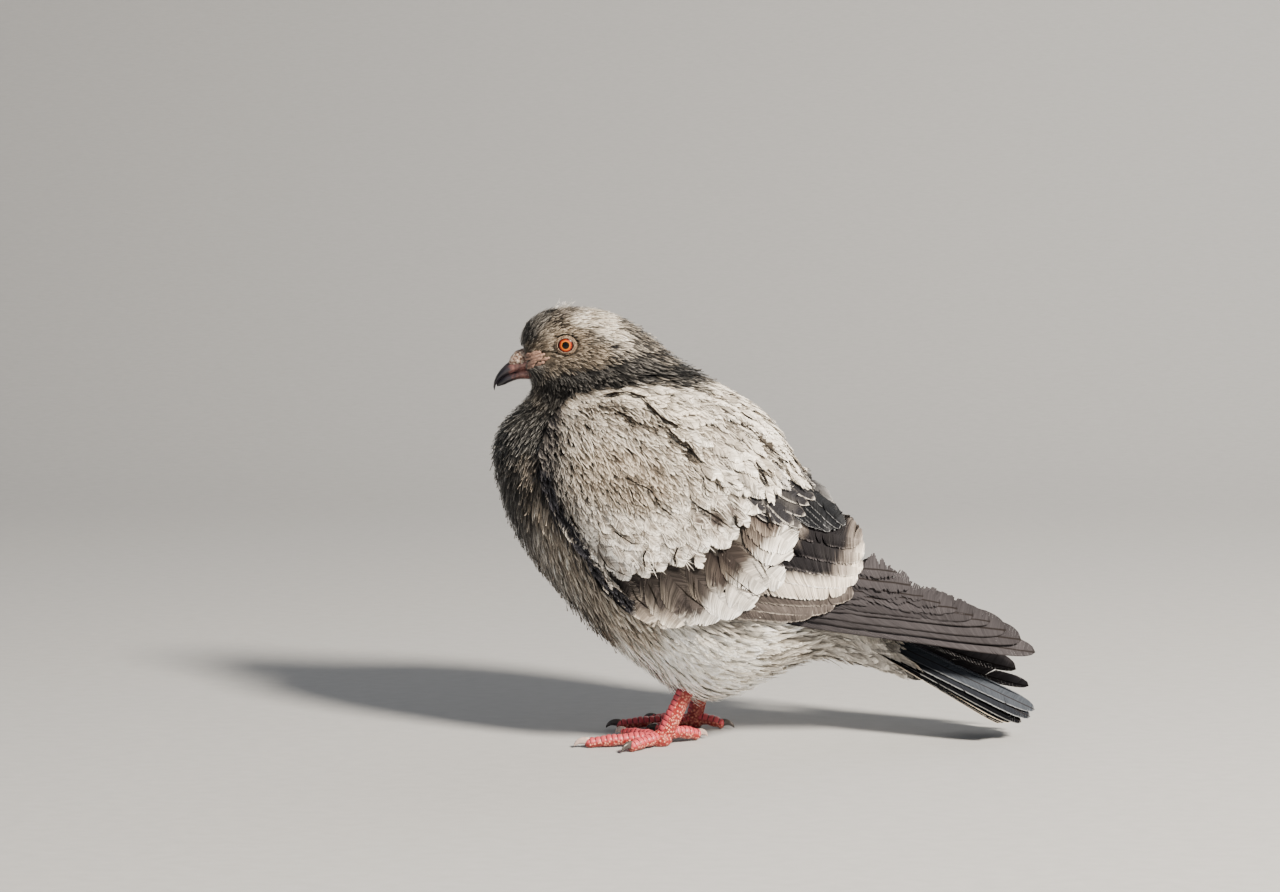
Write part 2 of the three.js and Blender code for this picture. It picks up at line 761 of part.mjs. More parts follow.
bird.add(meshOf("neck", before(SHOULDER_CUT, after(JAW_CUT, wholeBody)), darkPlumage));
bird.add(meshOf("torso", before(RUMP_CUT, after(SHOULDER_CUT, wholeBody)), plumage));
bird.add(meshOf("wing_left", wing(LEFT), flightFeather));
bird.add(meshOf("wing_right", wing(RIGHT), flightFeather));
bird.add(meshOf("tail", tail(), flightFeather));

for (const [side, foot] of Object.entries(FEET)) {
  bird.add(meshOf(`leg_${side}`, legForm(foot), redSkin));
  bird.add(meshOf(`foot_${side}`, footForm(foot), redSkin));
  for (const toe of foot.toes)
    bird.add(meshOf(`claw_${side}_${toe.name}`, onFloor(clawForm(foot, toe, 0)), horn));
}

// The origin is on the ground, under the middle of the bird.
const bounds = new THREE.Box3().setFromObject(bird);
const middle = bounds.getCenter(new THREE.Vector3());
bird.position.set(-middle.x, -middle.y, -bounds.min.z);

export default bird;
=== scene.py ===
"""A feral pigeon at rest: feathers fluffed, neck drawn in, wings folded over the rump."""

import math

import bmesh
import bpy
import numpy as np
from mathutils import Matrix, Vector
from mathutils.bvhtree import BVHTree


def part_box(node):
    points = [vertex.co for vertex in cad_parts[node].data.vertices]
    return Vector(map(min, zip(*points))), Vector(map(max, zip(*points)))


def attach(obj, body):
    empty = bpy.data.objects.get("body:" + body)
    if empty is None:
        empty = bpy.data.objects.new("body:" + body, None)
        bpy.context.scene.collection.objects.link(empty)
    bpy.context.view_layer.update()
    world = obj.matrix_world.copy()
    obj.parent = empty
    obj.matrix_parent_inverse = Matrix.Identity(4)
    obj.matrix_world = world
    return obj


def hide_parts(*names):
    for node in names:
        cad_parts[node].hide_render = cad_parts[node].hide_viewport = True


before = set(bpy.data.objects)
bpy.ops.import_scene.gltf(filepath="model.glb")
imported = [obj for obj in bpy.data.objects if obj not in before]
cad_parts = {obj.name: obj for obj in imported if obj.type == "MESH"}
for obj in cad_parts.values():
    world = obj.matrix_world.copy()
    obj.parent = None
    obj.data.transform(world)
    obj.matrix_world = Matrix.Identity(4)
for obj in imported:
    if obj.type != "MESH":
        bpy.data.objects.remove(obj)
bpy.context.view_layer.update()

# The bird is measured in millimetres in its own frame: x from bill to tail with 0 over the middle of
# the back, y across with 0 in the plane of symmetry and the left side negative, z up from the ground.
# The left eye sits at x -61.3 in it, which places that frame in the row's.
MM = 0.001
EYE = Vector((-61.3, 0, 183.3))
EYE_RADIUS = 5.2
eye_low, eye_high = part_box("eye_left")
EYE_Y = -(eye_low.y + eye_high.y) / 2 / MM
ORIGIN = np.array([(eye_low.x + eye_high.x) / 2 - EYE.x * MM, 0, 0])
LEFT, RIGHT = -1, 1


def to_row(points):
    return np.asarray(points, float) * MM + ORIGIN


def to_bird(points):
    return (np.asarray(points, float) - ORIGIN) / MM


# ------------------------------------------------------------------------------------------------
# The place it stands: a pale matt floor swept up behind, under three soft lamps, seen from its left
# side a little above its head.

CAMERA_AT = (-27.6, -1100, 230.4)
CAMERA_DOWN = 4.9  # degrees
LENS = 67.2
SENSOR = 36  # mm wide
LAMPS = {  # place in metres, size in metres, watts, colour
    "key": ((1.1, -1.25, 1.35), 0.4, 175, "#fff2df"),
    "fill": ((-1.6, -1.5, 0.9), 2.0, 7, "#e2ecfc"),
    "rim": ((0.9, 1.5, 1.4), 1.8, 18, "#fff8ee"),
}
LAMPS_AIM = (0, 0, 0.1)
ROOM_LIGHT, ROOM_STRENGTH = "#dfe4ea", 0.22
# The backdrop's paper, in metres: width and length, how much of it lies flat, how much bends up
# behind, and how much of the flat lies on the camera's side
PAPER_WIDTH, PAPER_LENGTH, PAPER_FLAT, PAPER_BEND, PAPER_FRONT = 8, 5.2, 3.4, 1.6, 2.4


def linear(code):
    """A hex sRGB colour as linear RGBA."""
    parts = np.array([int(code[i : i + 2], 16) for i in (1, 3, 5)]) / 255
    low = parts / 12.92
    high = ((parts + 0.055) / 1.055) ** 2.4
    return (*np.where(parts <= 0.04045, low, high), 1.0)


def add(tree, kind, inputs=None, **settings):
    """A node of that kind with its settings, and its inputs set to values or joined to sockets."""
    made = tree.nodes.new("ShaderNode" + kind)
    for name, value in settings.items():
        setattr(made, name, value)
    for name, value in (inputs or {}).items():
        if isinstance(value, bpy.types.NodeSocket):
            tree.links.new(value, made.inputs[name])
        else:
            made.inputs[name].default_value = value
    return made


def blended(tree, factor, first, second):
    """The colour from first to second as factor goes from 0 to 1; each is a hex code or a socket."""
    first, second = (linear(c) if isinstance(c, str) else c for c in (first, second))
    return add(tree, "MixRGB", {"Fac": factor, "Color1": first, "Color2": second}).outputs["Color"]


def dimmed(tree, colour, factor):
    """A colour socket made darker or lighter by a factor."""
    made = add(tree, "VectorMath", {0: colour, "Scale": factor}, operation="SCALE")
    return made.outputs["Vector"]


def banded(tree, factor, stops):
    """The colour of a ramp through (position, hex code) stops."""
    ramp = add(tree, "ValToRGB", {"Fac": factor})
    elements = ramp.color_ramp.elements
    for number, (at, code) in enumerate(stops):
        stop = elements[number] if number < 2 else elements.new(at)
        stop.position = at
        stop.color = linear(code)
    return ramp.outputs["Color"]


def surface(name, inputs):
    """A new material with a Principled shader, as (material, node tree, shader)."""
    material = bpy.data.materials.new(name)
    material.use_nodes = True
    tree = material.node_tree
    tree.nodes.clear()
    shader = add(tree, "BsdfPrincipled", inputs)
    add(tree, "OutputMaterial", {"Surface": shader.outputs["BSDF"]})
    return material, tree, shader


def joined_to(shader, tree, colour, bump=None):
    """Joins a colour socket, and a bump node if there is one, to a shader."""
    tree.links.new(colour, shader.inputs["Base Color"])
    if bump is not None:
        tree.links.new(bump.outputs["Normal"], shader.inputs["Normal"])


def object_of(name, bm, material):
    """A shaded object of a bmesh that is already in the row's frame."""
    mesh = bpy.data.meshes.new(name)
    bm.to_mesh(mesh)
    bm.free()
    mesh.materials.append(material)
    mesh.polygons.foreach_set("use_smooth", [True] * len(mesh.polygons))
    made = bpy.data.objects.new(name, mesh)
    bpy.context.scene.collection.objects.link(made)
    return made


camera = bpy.data.objects.new("camera", bpy.data.cameras.new("camera"))
camera.data.lens = LENS
camera.data.sensor_width = SENSOR
camera.data.clip_end = 50
camera.location = to_row(CAMERA_AT)
camera.rotation_euler = (math.radians(90 - CAMERA_DOWN), 0, 0)
bpy.context.scene.collection.objects.link(camera)
bpy.context.scene.camera = camera

for name, (place, size, watts, colour) in LAMPS.items():
    lamp = bpy.data.lights.new(name, "AREA")
    lamp.shape = "DISK"
    lamp.size = size
    lamp.energy = watts
    lamp.color = linear(colour)[:3]
    held = bpy.data.objects.new(name, lamp)
    held.location = place
    held.rotation_euler = (Vector(LAMPS_AIM) - Vector(place)).to_track_quat("-Z", "Y").to_euler()
    bpy.context.scene.collection.objects.link(held)

world = bpy.data.worlds.new("studio")
world.use_nodes = True
background = world.node_tree.nodes["Background"]
background.inputs["Color"].default_value = linear(ROOM_LIGHT)
background.inputs["Strength"].default_value = ROOM_STRENGTH
bpy.context.scene.world = world

sweep = bmesh.new()
bmesh.ops.create_grid(sweep, x_segments=1, y_segments=40, size=1)
bend_radius = PAPER_BEND * 2 / math.pi
for vert in sweep.verts:
    run = (vert.co.y + 1) * PAPER_LENGTH / 2
    past = max(run - PAPER_FLAT, 0)
    bend = min(past / PAPER_BEND, 1) * math.pi / 2
    back = run - PAPER_FRONT - past + bend_radius * math.sin(bend)
    vert.co = Vector((vert.co.x * PAPER_WIDTH / 2, back, bend_radius * (1 - math.cos(bend))))
paper, tree, shader = surface("matt_backdrop_paper", {"Roughness": 0.9, "Specular IOR Level": 0.2})
grain = add(tree, "TexNoise", {"Scale": 900.0, "Detail": 3.0})
joined_to(shader, tree, blended(tree, grain.outputs["Fac"], "#a2a4a7", "#b0b2b5"))
floor = object_of("floor", sweep, paper)

# ------------------------------------------------------------------------------------------------
# Skin: one closed form under all the body plumage, from the face to the root of the tail. It is made
# from the solids of head, neck and torso, melted together and drawn in by the depth of the coat.

VOXEL = 1.5  # mm
SMOOTHING, DRESSED_SMOOTHING = 14, 55  # passes
# x, and the skin's depth there under the outline of the plumage
COAT_DEPTH = [(-70, 1.0), (-40, 1.6), (0, 3.2), (60, 4.0), (84, 5.0)]


def melted(nodes, smoothing=SMOOTHING):
    """The named solids joined into one smooth closed surface, in the bird's frame."""
    joined = bmesh.new()
    for node in nodes:
        joined.from_mesh(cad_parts[node].data)
    bmesh.ops.remove_doubles(joined, verts=joined.verts, dist=1e-6)
    mesh = bpy.data.meshes.new("melted")
    joined.to_mesh(mesh)
    joined.free()
    rough = bpy.data.objects.new("melted", mesh)
    bpy.context.scene.collection.objects.link(rough)
    remesh = rough.modifiers.new("remesh", "REMESH")
    remesh.mode = "VOXEL"
    remesh.voxel_size = VOXEL * MM
    ready = rough.evaluated_get(bpy.context.evaluated_depsgraph_get())
    form = bmesh.new()
    form.from_mesh(ready.to_mesh())
    bpy.data.objects.remove(rough)
    for vert in form.verts:
        vert.co = Vector(to_bird(vert.co))
    for _ in range(smoothing):
        bmesh.ops.smooth_vert(
            form, verts=form.verts, factor=0.5, use_axis_x=True, use_axis_y=True, use_axis_z=True
        )
    bmesh.ops.recalc_face_normals(form, faces=form.faces)
    form.normal_update()
    return form


plumage_form = melted(["head", "neck", "torso", "tail"])
plumage_tree = BVHTree.FromBMesh(plumage_form)
dressed_form = melted(["neck", "torso", "wing_left", "wing_right", "tail"], DRESSED_SMOOTHING)
dressed_tree = BVHTree.FromBMesh(dressed_form)

# The ground colours of the vanes and of their fringes, and where the plumage has others, as seen from
# the side: a line of [x, z] points, how far the colour reaches from it, how softly it ends, the
# colour of the vanes and that of their fringes. Later marks lie over earlier ones.
BODY_COLOURS = ("#aaa39a", "#e6e0d6")
BODY_MARKS = {
    "belly": ([(-26, 44), (10, 32), (34, 40)], 16, 9, "#f1ebe0", "#fffdf6"),
    "vent": ([(34, 38), (54, 44), (72, 41)], 8, 6, "#a39c93", "#e2dcd2"),
    "undertail": ([(70, 44), (98, 35)], 7, 6, "#8d8882", "#dcd6cd"),
    # Painted shade: darker along the undertail's lower edge, which faces the floor.
    "shaded undertail edge": ([(90, 31), (112, 22)], 2.0, 3.0, "#28272a", "#8f8b86"),
    "lower edge": ([(-58, 52), (-36, 32), (-8, 13)], 4.0, 5, "#281e16", "#a3937f"),
    "lower breast": ([(-92, 96), (-74, 68), (-52, 50)], 7, 7, "#110d0a", "#8a7a69"),
    "flank": ([(-62, 94), (-46, 72), (-28, 56)], 6, 7, "#6f655a", "#dccfbe"),
    "breast": ([(-97, 134), (-95, 104)], 14, 9, "#040406", "#9b968f"),
    "shoulder front": ([(-74, 136), (-72, 108)], 6, 6, "#13110f", "#a89d90"),
    "neck": ([(-90, 150), (-76, 150), (-60, 157)], 12, 7, "#030407", "#93928f"),
    # Painted shade: a thin dark line on the body along the wing's front edge, for the shadow in the gap
    # under it.
    "under the wing": ([(-71, 130), (-64, 110), (-54, 93), (-44, 79)], 1.6, 3, "#121217", "#4a494d"),
    "pale stripe": ([(-74, 111), (-67, 97), (-56, 82), (-43, 68.5), (-28, 60)], 1.8, 2.6,
                    "#8f8375", "#f3e8d7"),
    "back": ([(6, 168), (30, 150), (50, 124)], 14, 8, "#a8a39c", "#efebe4"),
    "rump": ([(52, 112), (66, 84)], 12, 8, "#7f8087", "#cfcfcf"),
    "shoulder top": ([(-44, 160), (-10, 163), (14, 159)], 6, 5, "#8c857c", "#e6dfd5"),
    "nape": ([(-30, 186), (-14, 181), (-4, 174)], 8, 5, "#101015", "#c0baaf"),
    "throat": ([(-77, 166), (-70, 162), (-60, 163)], 5, 4, "#08080c", "#a8a298"),
    "head": ([(-74, 188), (-58, 194), (-44, 190), (-36, 184)], 12, 4, "#26211d", "#b8ac9c"),
    "cheek": ([(-67, 170), (-50, 173), (-38, 177)], 3.5, 3, "#1e1a17", "#b3a898"),
    "hind head": ([(-40, 187), (-26, 182)], 6, 4, "#101014", "#d6cdc0"),
    "collar": ([(-66, 162), (-50, 166.5), (-38, 170), (-26, 173), (-14, 174), (-4, 170)], 5.5, 3,
               "#010204", "#6f6d6b"),
    "face": ([(-67, 177), (-46, 179)], 4, 3, "#3d362e", "#b9ab99"),
    "hind crown": ([(-53, 197.5), (-45, 196.5), (-37, 191)], 4.6, 3.5, "#b3a99b", "#fff9ee"),
    "nape streaks": ([(-34, 194), (-24, 187), (-14, 179)], 2.6, 3.0, "#0d0d11", "#b7aea2"),
    "crown": ([(-70, 200), (-60, 202)], 4, 3, "#24211f", "#b0a79d"),
    "forehead": ([(-80, 182), (-78, 191), (-73, 197)], 3.2, 2.5, "#08080a", "#aaa59e"),
    "lore": ([(-77, 180), (-68, 181)], 3, 3, "#3d342b", "#b3a593"),
    "eye surround": ([(-63, 184), (-59, 184)], 5.8, 2.5, "#6b5f52", "#c6b7a3"),
}


def smooth(t):
    """0 up to 0, 1 from 1 on and an even slope between them."""
    t = np.clip(t, 0, 1)
    return t * t * (3 - 2 * t)


def nearness(points, line, reach, softness):
    """1 within reach of a line of [x, z] points, easing to 0 over softness, for points [x, z]."""
    nearest = np.full(len(points), np.inf)
    for start, end in zip(line, line[1:]):
        start, run = np.array(start, float), np.subtract(end, start).astype(float)
        share = np.clip(((points - start) @ run) / (run @ run), 0, 1)
        nearest = np.minimum(nearest, np.linalg.norm(points - start - share[:, None] * run, axis=1))
    return smooth((reach + softness - nearest) / softness)


def painted(points, ground, marks):
    """Vane and fringe colours, linear, at points [x, z]."""
    vane = np.tile(linear(ground[0])[:3], (len(points), 1))
    fringe = np.tile(linear(ground[1])[:3], (len(points), 1))
    for line, reach, softness, vane_code, fringe_code in marks.values():
        share = nearness(points, line, reach, softness)[:, None]
        vane += (np.array(linear(vane_code)[:3]) - vane) * share
        fringe += (np.array(linear(fringe_code)[:3]) - fringe) * share
    return vane, fringe


def coloured(mesh, name, colours):
    """Gives a mesh a colour attribute on its points."""
    attribute = mesh.color_attributes.new(name, "FLOAT_COLOR", "POINT")
    rgba = np.ones((len(colours), 4), np.float32)
    rgba[:, :3] = colours
    attribute.data.foreach_set("color", rgba.ravel())


skin = melted(["head", "neck", "torso"])
for vert in skin.verts:
    depth = np.interp(vert.co.x, *zip(*COAT_DEPTH))
    vert.co -= vert.normal * depth
skin_points = np.array([v.co for v in skin.verts])
for vert, place in zip(skin.verts, to_row(skin_points)):
    vert.co = Vector(place)
down, tree, shader = surface(
    "matted_down", {"Roughness": 0.95, "Specular IOR Level": 0.1, "Sheen Weight": 0.2}
)
tint = add(tree, "Attribute", attribute_name="plumage")
place = add(tree, "TexCoord").outputs["Object"]
fluff = add(tree, "TexNoise", {"Vector": place, "Scale": 700.0, "Detail": 4.0})
shade = add(tree, "MapRange", {"Value": fluff.outputs["Fac"], "To Min": 0.5, "To Max": 1.1})
rise = add(tree, "Bump", {"Height": fluff.outputs["Fac"], "Distance": 0.0006, "Strength": 0.8})
joined_to(shader, tree, dimmed(tree, tint.outputs["Color"], shade.outputs["Result"]), rise)
skin = object_of("skin", skin, down)
vane_colour, fringe_colour = painted(skin_points[:, [0, 2]], BODY_COLOURS, BODY_MARKS)
coloured(skin.data, "plumage", vane_colour * 0.75 + fringe_colour * 0.1)
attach(skin, "root")
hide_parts("head", "neck", "torso")

# ------------------------------------------------------------------------------------------------
# Body feathers: every feather is a fan of barb locks either side of its shaft, thin as paper, rooted
# in the skin and lying on the ones behind it. They run from hair-fine on the face to loose and downy
# on the belly.

# The lie of the coat in side view. Place: x, z, the way the tips point in degrees (0 towards the tail,
# -90 down), length and breadth of a feather there, and the distance to the next one, all in mm.
LIE = {
    "bill base above": (-80, 182, 78, 2.6, 0.9, 0.85),
    "forehead": (-78.5, 191, 62, 3.6, 1.0, 0.95),
    "front crown": (-70, 199, 22, 4.0, 1.1, 1.0),
    "crown": (-57, 201, 2, 4.6, 1.2, 1.1),
    "lore": (-73, 183, 32, 2.0, 0.8, 0.75),
    "over the eye": (-61, 191, 8, 3.2, 1.0, 0.9),
    "behind the eye": (-49, 184, -6, 3.6, 1.0, 0.95),
    "under the eye": (-63, 176, -14, 2.8, 0.9, 0.85),
    "cheek": (-50, 173, -22, 3.6, 1.1, 1.0),
    "ear": (-37, 181, -14, 4.6, 1.2, 1.1),
    "hind crown": (-38, 196, -14, 6.0, 1.4, 1.25),
    "nape": (-20, 187, -32, 7.5, 1.5, 1.35),
    "hind neck": (-4, 175, -35, 9.0, 2.0, 1.7),
    "gape": (-75, 172, -8, 1.8, 0.8, 0.75),
    "chin": (-74, 167, -20, 2.6, 1.0, 0.9),
    "throat": (-66, 164, -75, 4.0, 1.1, 1.0),
    "throat fold": (-75, 160, -132, 5.0, 1.3, 1.15),
    "neck side": (-57, 161, -108, 6.0, 1.4, 1.25),
    "neck side behind": (-41, 165, -80, 6.5, 1.5, 1.3),
    "collar behind": (-22, 171, -42, 8.0, 1.8, 1.6),
    "neck front": (-86, 150, -114, 7.5, 1.5, 1.35),
    "neck base": (-72, 142, -98, 8.5, 1.6, 1.4),
    "breast top": (-94, 133, -97, 8.5, 1.6, 1.4),
    "breast": (-93, 112, -84, 9.5, 1.7, 1.5),
    "breast side": (-74, 106, -80, 9.5, 1.7, 1.5),
    "breast low": (-82, 88, -64, 10.5, 1.8, 1.6),
    "breast low side": (-60, 82, -60, 11.0, 1.9, 1.7),
    "breast end": (-62, 64, -52, 12.0, 2.2, 1.9),
    "flank": (-38, 62, -46, 13.0, 3.2, 2.4),
    "belly front": (-44, 47, -44, 13.5, 3.4, 2.5),
    "belly": (-22, 32, -34, 14.0, 4.4, 2.8),
    "thigh": (-8, 46, -34, 14.0, 4.4, 2.8),
    "belly bottom": (-2, 20, -12, 13.0, 4.4, 2.8),
    "vent": (16, 24, 16, 13.0, 4.4, 2.8),
    "vent side": (22, 42, -8, 14.0, 5.0, 3.0),
    "vent behind": (36, 33, 12, 14.0, 5.0, 3.0),
    "under the tail": (58, 41, -6, 17.0, 6.0, 3.2),
    "under the tail middle": (74, 38, -20, 19.0, 6.5, 3.4),
    "under the tail behind": (92, 31, -27, 20.0, 7.0, 3.6),
    "tail root above": (84, 52, -28, 17.0, 8.0, 3.8),
    "back top": (4, 168, -32, 12.0, 4.5, 2.6),
    "back": (24, 155, -38, 15.0, 7.0, 3.4),
    "lower back": (40, 138, -50, 17.0, 9.0, 4.0),
    "rump": (55, 100, -62, 16.0, 9.0, 4.4),
}
FIELD_SOFTNESS = 11.0  # mm over which one guide passes into the next


def lie_at(points, guides):
    """Direction [dx, dz], length, breadth and spacing of the coat at points [x, z]."""
    table = np.array([row for row in guides.values()], float)
    away = np.linalg.norm(points[:, None] - table[None, :, :2], axis=2)
    weight = np.exp(-0.5 * (away / FIELD_SOFTNESS) ** 2) + 1e-3 / (1 + away) ** 2
    weight /= weight.sum(axis=1, keepdims=True)
    angle = np.radians(table[:, 2])
    heading = weight @ np.column_stack([np.cos(angle), np.sin(angle)])
    heading /= np.linalg.norm(heading, axis=1, keepdims=True)
    return heading, *(weight @ table[:, 3:6]).T


def barb_fan(locks, segments, sweep, crowd=1.0):
    """One feather's grid. For each vertex: side of the shaft, number of its lock, 0 or 1 for the lock's
    lower or upper edge, where its barb leaves the shaft (0 root, 1 tip) and how far out along the
    barb it is. Also the quads. sweep is how far the barbs run on towards the tip, as a share of the
    way there; crowd below 1 brings the steps along a barb closer together at its end."""
    rows, quads = [], []
    for side in (-1, 1):
        for lock in range(locks):
            first = len(rows)
            for edge in (0, 1):
                for step in range(segments + 1):
                    out = (step / segments) ** crowd
                    rows.append((side, lock + locks * (side > 0), edge, (lock + edge) / locks, out))
            for step in range(segments):
                a, b = first + step, first + segments + 1 + step
                quads.append((a, b, b + 1, a + 1) if side > 0 else (a, a + 1, b + 1, b))
    grid = dict(zip(("side", "lock", "edge", "start", "out"), np.array(rows, float).T))
    grid["lock"] = grid["lock"].astype(int)
    return grid | {"quads": np.array(quads), "locks": locks, "sweep": sweep}


def half_breadth_at(along, roundness):
    """Half breadth of a vane, as a share of its broadest, at a share of its length. The end is a point
    with roundness 0 and blunter above it."""
    rise = np.clip(along / 0.35, 0, 1)
    rise = 0.45 + 0.55 * rise * (2 - rise)
    blunt = 2.0 + 6.0 * roundness
    fall = np.clip(1 - np.clip(along, 0, 1) ** blunt, 0, 1) ** (0.5 + 0.5 * max(1 - roundness, 0))
    return rise * fall


CLUMP = 2.5  # locks that lean together beside a parting


def fanned(grid, count, rng, shape, wear=1.0):
    """Every vertex of count feathers: its place along the shaft and across it as shares of length and
    half breadth, height over its bed in mm, share of fringe colour, and shade. The barbs part in
    places, as far as shape and wear say, and those beside a parting are worn shorter."""
    locks = grid["locks"]
    apart = np.arange(locks)[None] - np.arange(locks)[:, None]
    above = np.exp(-np.maximum(apart, 0) / CLUMP)
    below = np.exp((np.minimum(apart, -1) + 1) / CLUMP)
    parting = np.where(apart >= 0, above, -below)
    wear = np.broadcast_to(wear, count)[:, None]
    opened = (rng.random((count, 2, locks)) < shape["partings"]) * rng.random((count, 2, locks))
    moved = (opened @ parting).reshape(count, -1) * wear * shape["gape"] / locks
    torn = np.clip((opened @ np.abs(parting)).reshape(count, -1), 0, 1)
    loss = shape["ragged"] * wear * (0.4 * rng.random((count, 2 * locks)) ** 2 + 0.6 * torn)
    lean = shape["shingle"] * (1 + rng.normal(0, 0.5, (count, 2 * locks)))
    tone = rng.normal(1, shape["streak"], (count, 2 * locks))
    pick = grid["lock"]
    out = grid["out"] * (1 - loss.clip(0, 0.9)[:, pick])
    slack = shape["gap"] * wear * rng.random((count, 2 * locks))
    start = grid["start"] - grid["edge"] * slack[:, pick] * out**2 / locks
    end = grid["sweep"] + (1 - grid["sweep"]) * start + moved[:, pick] * out
    along = start + (end - start) * out**1.35
    outer = np.where(grid["side"] > 0, shape.get("outer", 1.0), 1.0)
    across = grid["side"] * outer * half_breadth_at(end, shape["roundness"]) * out
    height = lean[:, pick] * (0.5 - grid["edge"]) * out - shape["camber"] * across**2
    fringe = smooth((out - shape["fringe"]) / (1.001 - shape["fringe"]))
    fringe = fringe * np.where(grid["side"] > 0, 1.0, shape.get("upper_fringe", 1.0))
    edging = np.maximum(fringe, smooth((along - shape["tip"]) / (1.001 - shape["tip"])))
    shade = tone[:, pick] * (shape["deep"] + (1 - shape["deep"]) * smooth((along - 0.15) / 0.55))
    return along, across, height, edging, shade


def feather_mesh(name, points, grid, fields, colours, bake, material):
    """Joins feathers into one object. points is feathers x vertices x 3 in the bird's frame."""
    count, each = points.shape[:2]
    quads = (grid["quads"][None] + np.arange(count)[:, None, None] * each).reshape(-1, 4)
    mesh = bpy.data.meshes.new(name)
    mesh.vertices.add(count * each)
    mesh.vertices.foreach_set("co", to_row(points.reshape(-1, 3)).astype(np.float32).ravel())
    mesh.loops.add(quads.size)
    mesh.loops.foreach_set("vertex_index", quads.ravel().astype(np.int32))
    mesh.polygons.add(len(quads))
    mesh.polygons.foreach_set("loop_start", np.arange(0, quads.size, 4, dtype=np.int32))
    mesh.polygons.foreach_set("use_smooth", np.ones(len(quads), bool))
    for layer, values in (("vane", fields), ("OFBake", bake)):
        uv = mesh.uv_layers.new(name=layer)
        uv.data.foreach_set("uv", values.reshape(-1, 2)[quads.ravel()].astype(np.float32).ravel())
    coloured(mesh, "plumage", colours.reshape(-1, 3))
    mesh.update(calc_edges=True)
    mesh.materials.append(material)
    made = bpy.data.objects.new(name, mesh)
    bpy.context.scene.collection.objects.link(made)
    return made


BARB_PITCH = 0.8  # mm; real barbs stand about 0.35 mm apart, too fine to show
VANE_STEP = 37.0  # mm from one feather's place in the barb pattern to the next one's
BAKE_PATCH = 0.003  # share of the bake map for one small feather


def vane_map(across, grid, length):
    """Places in the vane map: out along the barb, and up the shaft in mm."""
    up_shaft = grid["start"] * length[:, None] + VANE_STEP * np.arange(len(length))[:, None]
    return np.stack([np.abs(across), up_shaft], axis=2)


def bake_patches(centres, along, across):
    """Places in the bake map: a small patch for each feather."""
    return centres + np.stack([along - 0.5, across * 0.5], axis=2) * BAKE_PATCH


def bake_strips(along, across):
    """Places in the bake map: a strip right across it for each feather."""
    count = len(along)
    rows = (np.arange(count)[:, None] + 0.5 + across * 0.42) / count
    return np.stack([along * 0.94 + 0.03, rows], axis=2)


def plume_material(name, roughness, sheen, contrast, relief, shaft=None, index=1.22, gloss=0.4):
    """Keratin barbs hooked into a vane. Colour comes from the mesh, and the vane map draws the barbs
    with their contrast and relief in mm, and the shaft. index and gloss say how much light glances
    off."""
    sheens = {"Sheen Weight": sheen, "Sheen Roughness": 0.4}
    glance = {"Roughness": roughness, "Specular IOR Level": gloss, "IOR": index}
    material, tree, shader = surface(name, glance | sheens)
    tint = add(tree, "Attribute", attribute_name="plumage")
    place = add(tree, "UVMap", uv_map="vane")
    stretched = add(tree, "Mapping", {"Vector": place.outputs["UV"], "Scale": (0.7, 1 / BARB_PITCH, 1)})
    barbs = add(tree, "TexNoise", {"Vector": stretched.outputs["Vector"], "Scale": 1.0, "Detail": 2.5})
    span = {"From Min": 0.3, "From Max": 0.7, "To Min": 1 - contrast, "To Max": 1 + contrast}
    shade = add(tree, "MapRange", {"Value": barbs.outputs["Fac"]} | span)
    colour = dimmed(tree, tint.outputs["Color"], shade.outputs["Result"])
    if shaft is not None:
        out = add(tree, "SeparateXYZ", {"Vector": place.outputs["UV"]})
        near = add(tree, "MapRange", {"Value": out.outputs["X"], "From Min": 0.07, "From Max": 0.02})
        colour = blended(tree, near.outputs["Result"], colour, shaft)
    rise = add(tree, "Bump", {"Height": barbs.outputs["Fac"], "Distance": relief * MM, "Strength": 1.0})
    joined_to(shader, tree, colour, rise)
    return material


silky = plume_material("silky_hackle_barbs", 0.45, 0.0, 0.25, 0.2, index=1.4)
downy = plume_material("downy_barbs", 0.85, 0.1, 0.2, 0.25)


def gathered(points, spacing, rng):
    """Indices of points left when about one is kept in each cell of the local spacing. Cells come in
    sizes a third of a doubling apart."""
    kept = []
    level = np.round(np.log2(spacing) * 3) / 3
    for step in np.unique(level):
        chosen = np.flatnonzero(level == step)
        cell = 2.0**step * 1.12
        scaled = points[chosen] / cell
        centre = np.floor(scaled) + 0.5
        away = np.linalg.norm(scaled - centre, axis=1) + 0.5 * rng.random(len(chosen))
        order = np.argsort(away)
        keys = np.floor(scaled[order]).astype(int)
        _, first = np.unique(keys, axis=0, return_index=True)
        kept.append(chosen[order[first]])
    return np.concatenate(kept)


def candidates(form, rng, density):
    """Random points on a surface, density of them to a square millimetre."""
    corners = np.array([[v.co for v in (f.verts[0], f.verts[1], f.verts[2])] for f in form.faces])
    fourth = np.array([f.verts[-1].co for f in form.faces])
    area = np.array([f.calc_area() for f in form.faces])
    count = rng.poisson(area * density(corners.mean(axis=1)))
    pick = np.repeat(np.arange(len(area)), count)
    a, b = rng.random((2, len(pick), 1))
    near = corners[pick, 0] * (1 - a) + corners[pick, 1] * a
    far = fourth[pick] * (1 - a) + corners[pick, 2] * a
    return near * (1 - b) + far * b


STATIONS = 4  # steps in which a feather follows the form under it


